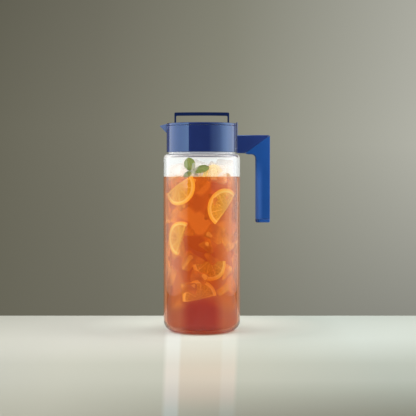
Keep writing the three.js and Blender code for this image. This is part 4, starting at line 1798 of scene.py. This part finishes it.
@dataclass
class Studio:
    """The pale table, the backdrop, the lamps and the camera, in metres."""

    table_back: float = 0.171
    table_front: float = -1.9
    table_half: float = 1.6
    table_thickness: float = 0.02
    table_edge: float = 0.0015
    # Where the table's painted light and shade change, from side to side and from front to back
    table_sides: Point2 = (-0.3, 0.3)
    table_depths: Point2 = (-0.65, 0.17)
    # The painted pool of light round the pitcher's foot, which takes out its shadow
    painted_pool_place: Point3 = (0.0, 0.065, 0.0)
    painted_pool_fade: Point2 = (0.08, 0.17)
    # The painted glow and reflection that the pitcher throws on the table
    streak_inner: Point2 = (0.0165, 0.019)  # metres aside for each metre from the camera
    streak_outer: Point2 = (0.0285, 0.0325)
    streak_middle: Point2 = (-0.01, 0.01)
    streak_right: float = 0.4
    streak_glow: float = 0.12
    backdrop_distance: float = 1.9
    backdrop_half: float = 3.5
    backdrop_low: float = -1.0
    backdrop_high: float = 2.5
    backdrop_thickness: float = 0.02
    backdrop_edge: float = 0.001
    # Painted light across the backdrop: where its colour changes from side to side and its strength up it
    backdrop_sides: Point2 = (-0.62, 0.62)
    backdrop_rise: Point2 = (-0.2, 0.3)
    backdrop_top: Point2 = (0.35, 0.73)
    low_strength: Point2 = (0.95, 0.61)  # at the left and at the right
    top_strength: Point2 = (0.84, 0.92)
    card: str = "#F5F5F2"  # the pale card that clear plastic shows behind it
    camera_place: Point3 = (0.0084, -1.6, 0.2137)
    camera_pitch: float = -1.66
    lens: float = 101.9
    sensor: float = 36.0
    lamps: tuple[Softbox, ...] = (
        Softbox("softbox_left", (-0.45, -0.02, 0.39), (0.0, -0.02, 0.39), (0.99, 0.78), 2.8, True, LEFT_SHADES),
        Softbox("softbox_right", (0.45, -0.28, 0.39), (0.0, -0.28, 0.39), (1.5, 0.78), 3.6, True, RIGHT_SHADES),
        Softbox("rim_left", (-0.7, -0.35, 0.25), (0.0, 0.0, 0.14), (0.3, 0.4), 3.2, False),
        Softbox("rim_right", (0.7, -0.35, 0.25), (0.0, 0.0, 0.14), (0.3, 0.4), 2.0, False),
        Softbox("softbox_top", (0.0, -0.1, 1.2), (0.0, 0.0, 0.2), (0.9, 0.9), 1.2),
        Softbox("fill_front", (0.1, -1.7, 0.9), (0.0, 0.0, 0.15), (1.4, 1.0), 1.4, False),
    )

    def streak(self, paint: Paint, near: Socket) -> tuple[Socket, Socket]:
        """Draws the painted glow and reflection that the pitcher throws on the table towards the camera.

        Args:
            paint: the table's material.
            near: 0 at the table's front and 1 at its back.

        Returns:
            The streak's colour and its strength.
        """
        distance = paint.math("ADD", paint.along("Y"), -self.camera_place[1])
        share = paint.math("DIVIDE", paint.aside(), distance)
        # Painted reflection and glow: an orange strip in front of the pitcher with pale edges, by emission on
        # the table
        thrown = paint.ramp(near, (0.12, "#000000"), (0.22, "#CC4810"), (0.38, "#FC8020"), (0.66, "#C0A880"))
        strip = paint.mapped(share, *self.streak_inner)
        leftward = paint.mapped(paint.along("X"), *self.streak_middle, 1.0, self.streak_right)
        colour = paint.mix(paint.math("MULTIPLY", strip, leftward), thrown, linear("#B4E0FF"), "ADD")
        return colour, paint.mapped(share, *self.streak_outer, self.streak_glow, 0.0)

    def table(self) -> None:
        """Lays the pale table, with painted light and shade across it, a painted pool of light round the
        pitcher's foot, and the painted glow and reflection that the pitcher throws in front of it.
        """
        paint = Paint("satin_table")
        # Painted light and shade: the table's colour changes from side to side and grows lighter towards the
        # back, as the lamps fall on it
        side = paint.mapped(paint.along("X"), *self.table_sides)
        near = paint.mapped(paint.along("Y"), *self.table_depths)
        front = paint.ramp(side, (0.267, "#AFAEA0"), (0.583, "#8E8D80"), (0.792, "#818174"))
        middle = paint.ramp(side, (0.12, "#AEAEA4"), (0.25, "#B4B4A8"), (0.583, "#B4B5A8"), (0.833, "#AAAFA5"))
        back = paint.ramp(
            side,
            (0.02, "#B8B8AE"),
            (0.22, "#C4C4BB"),
            (0.417, "#C8C8BF"),
            (0.625, "#BFC4BA"),
            (0.833, "#C2C9C1"),
            (1.0, "#BAC0B8"),
        )
        nearer = paint.ramp(near, (0.05, "#000000"), (0.32, "#FFFFFF"))
        farther = paint.ramp(near, (0.45, "#000000"), (0.7, "#FFFFFF"))
        painted_light_and_shade = paint.mix(farther, paint.mix(nearer, front, middle), back)
        # Painted light: a paler pool round the pitcher's foot takes out its shadow
        away = paint.vector("DISTANCE", "Value", paint.place(), self.painted_pool_place)
        colour, strength = self.streak(paint, near)
        material = paint.solid(
            Base_Color=paint.mix(paint.mapped(away, *self.painted_pool_fade, 1.0, 0.0), painted_light_and_shade, linear("#D8DAD0")),
            Roughness=0.5,
            Specular_IOR_Level=0.0,
            Emission_Color=colour,
            Emission_Strength=strength,
        )
        low = (-self.table_half, self.table_front, -self.table_thickness)
        self.set_up("table", low, (self.table_half, self.table_back, 0.0), self.table_edge, material)

    def backdrop(self) -> None:
        """Hangs the olive backdrop, which clear plastic shows as the pale card of the photograph."""
        paint = Paint("painted_backdrop")
        # Painted light: the backdrop is lighter to the right and dimmer towards its bottom and its top
        side = paint.mapped(paint.along("X"), *self.backdrop_sides)
        height = paint.mapped(paint.along("Z"), *self.backdrop_rise)
        top = paint.mapped(paint.along("Z"), *self.backdrop_top)
        lower = paint.spread(height, paint.spread(side, *self.low_strength), 1.0)
        fading = paint.spread(top, 1.0, paint.spread(side, *self.top_strength))
        colour = paint.ramp(side, (0.0, "#6A685A"), (0.25, "#777567"), (0.55, "#8A897A"), (1.0, "#B0B0A5"))
        seen = paint.add("Emission", Color=colour, Strength=paint.math("MULTIPLY", lower, fading)).outputs[0]
        card = paint.add("Emission", Color=linear(self.card), Strength=1.0).outputs[0]
        material = paint.finish(paint.for_ray("Is Transmission Ray", seen, card))
        low = (-self.backdrop_half, self.backdrop_distance, self.backdrop_low)
        high = (self.backdrop_half, self.backdrop_distance + self.backdrop_thickness, self.backdrop_high)
        self.set_up("backdrop", low, high, self.backdrop_edge, material)

    def set_up(self, name: str, low: Point3, high: Point3, edge: float, material: bpy.types.Material) -> None:
        """Sets up a slab of the stage.

        Args:
            name: its name.
            low: its lowest corner.
            high: its highest corner.
            edge: radius of its edges.
            material: its material.
        """
        corners = [tuple(c / MM for c in corner) for corner in (low, high)]
        slab = mesh_of(block(*corners, edge / MM), name)
        slab.data.materials.append(material)

    def world(self) -> None:
        """Fills the room: grey to the camera, dark to gloss, pale through clear plastic."""
        world = bpy.data.worlds.new("room")
        world.use_nodes = True
        bpy.context.scene.world = world
        nodes = Nodes(world.node_tree)
        shown = nodes.add("Background", Color=linear("#E4E4E0"), Strength=0.45).outputs[0]
        for ray, colour, strength in (
            ("Is Camera Ray", "#8A8B7E", 1.0),
            ("Is Glossy Ray", "#8A8B7E", 0.12),
            ("Is Transmission Ray", self.card, 1.0),
        ):
            other = nodes.add("Background", Color=linear(colour), Strength=strength).outputs[0]
            shown = nodes.for_ray(ray, shown, other)
        nodes.add("OutputWorld", Surface=shown)

    def camera(self) -> None:
        """Sets the camera where the photograph was taken from."""
        data = bpy.data.cameras.new("camera")
        data.lens = self.lens
        data.sensor_width = self.sensor
        camera = bpy.data.objects.new("camera", data)
        camera.location = self.camera_place
        camera.rotation_euler = (math.radians(90 + self.camera_pitch), 0, 0)
        bpy.context.scene.collection.objects.link(camera)
        bpy.context.scene.camera = camera

    def build(self) -> None:
        """Sets the stage, the light and the camera."""
        self.table()
        self.backdrop()
        self.world()
        for lamp in self.lamps:
            lamp.hang()
        self.camera()
        bpy.context.scene.view_settings.view_transform = "Standard"


def main() -> None:
    """Builds the pitcher, what is in it and the studio round it."""
    logging.basicConfig(level=logging.INFO, format="%(message)s")
    finishes = Finishes()
    for part in (Vessel(finishes), Collar(finishes), Handle(finishes), Lid(finishes), Tea(), Fruit()):
        log.info("building: %s", type(part).__name__)
        part.build()
    Studio().build()


if __name__ == "__main__":
    main()
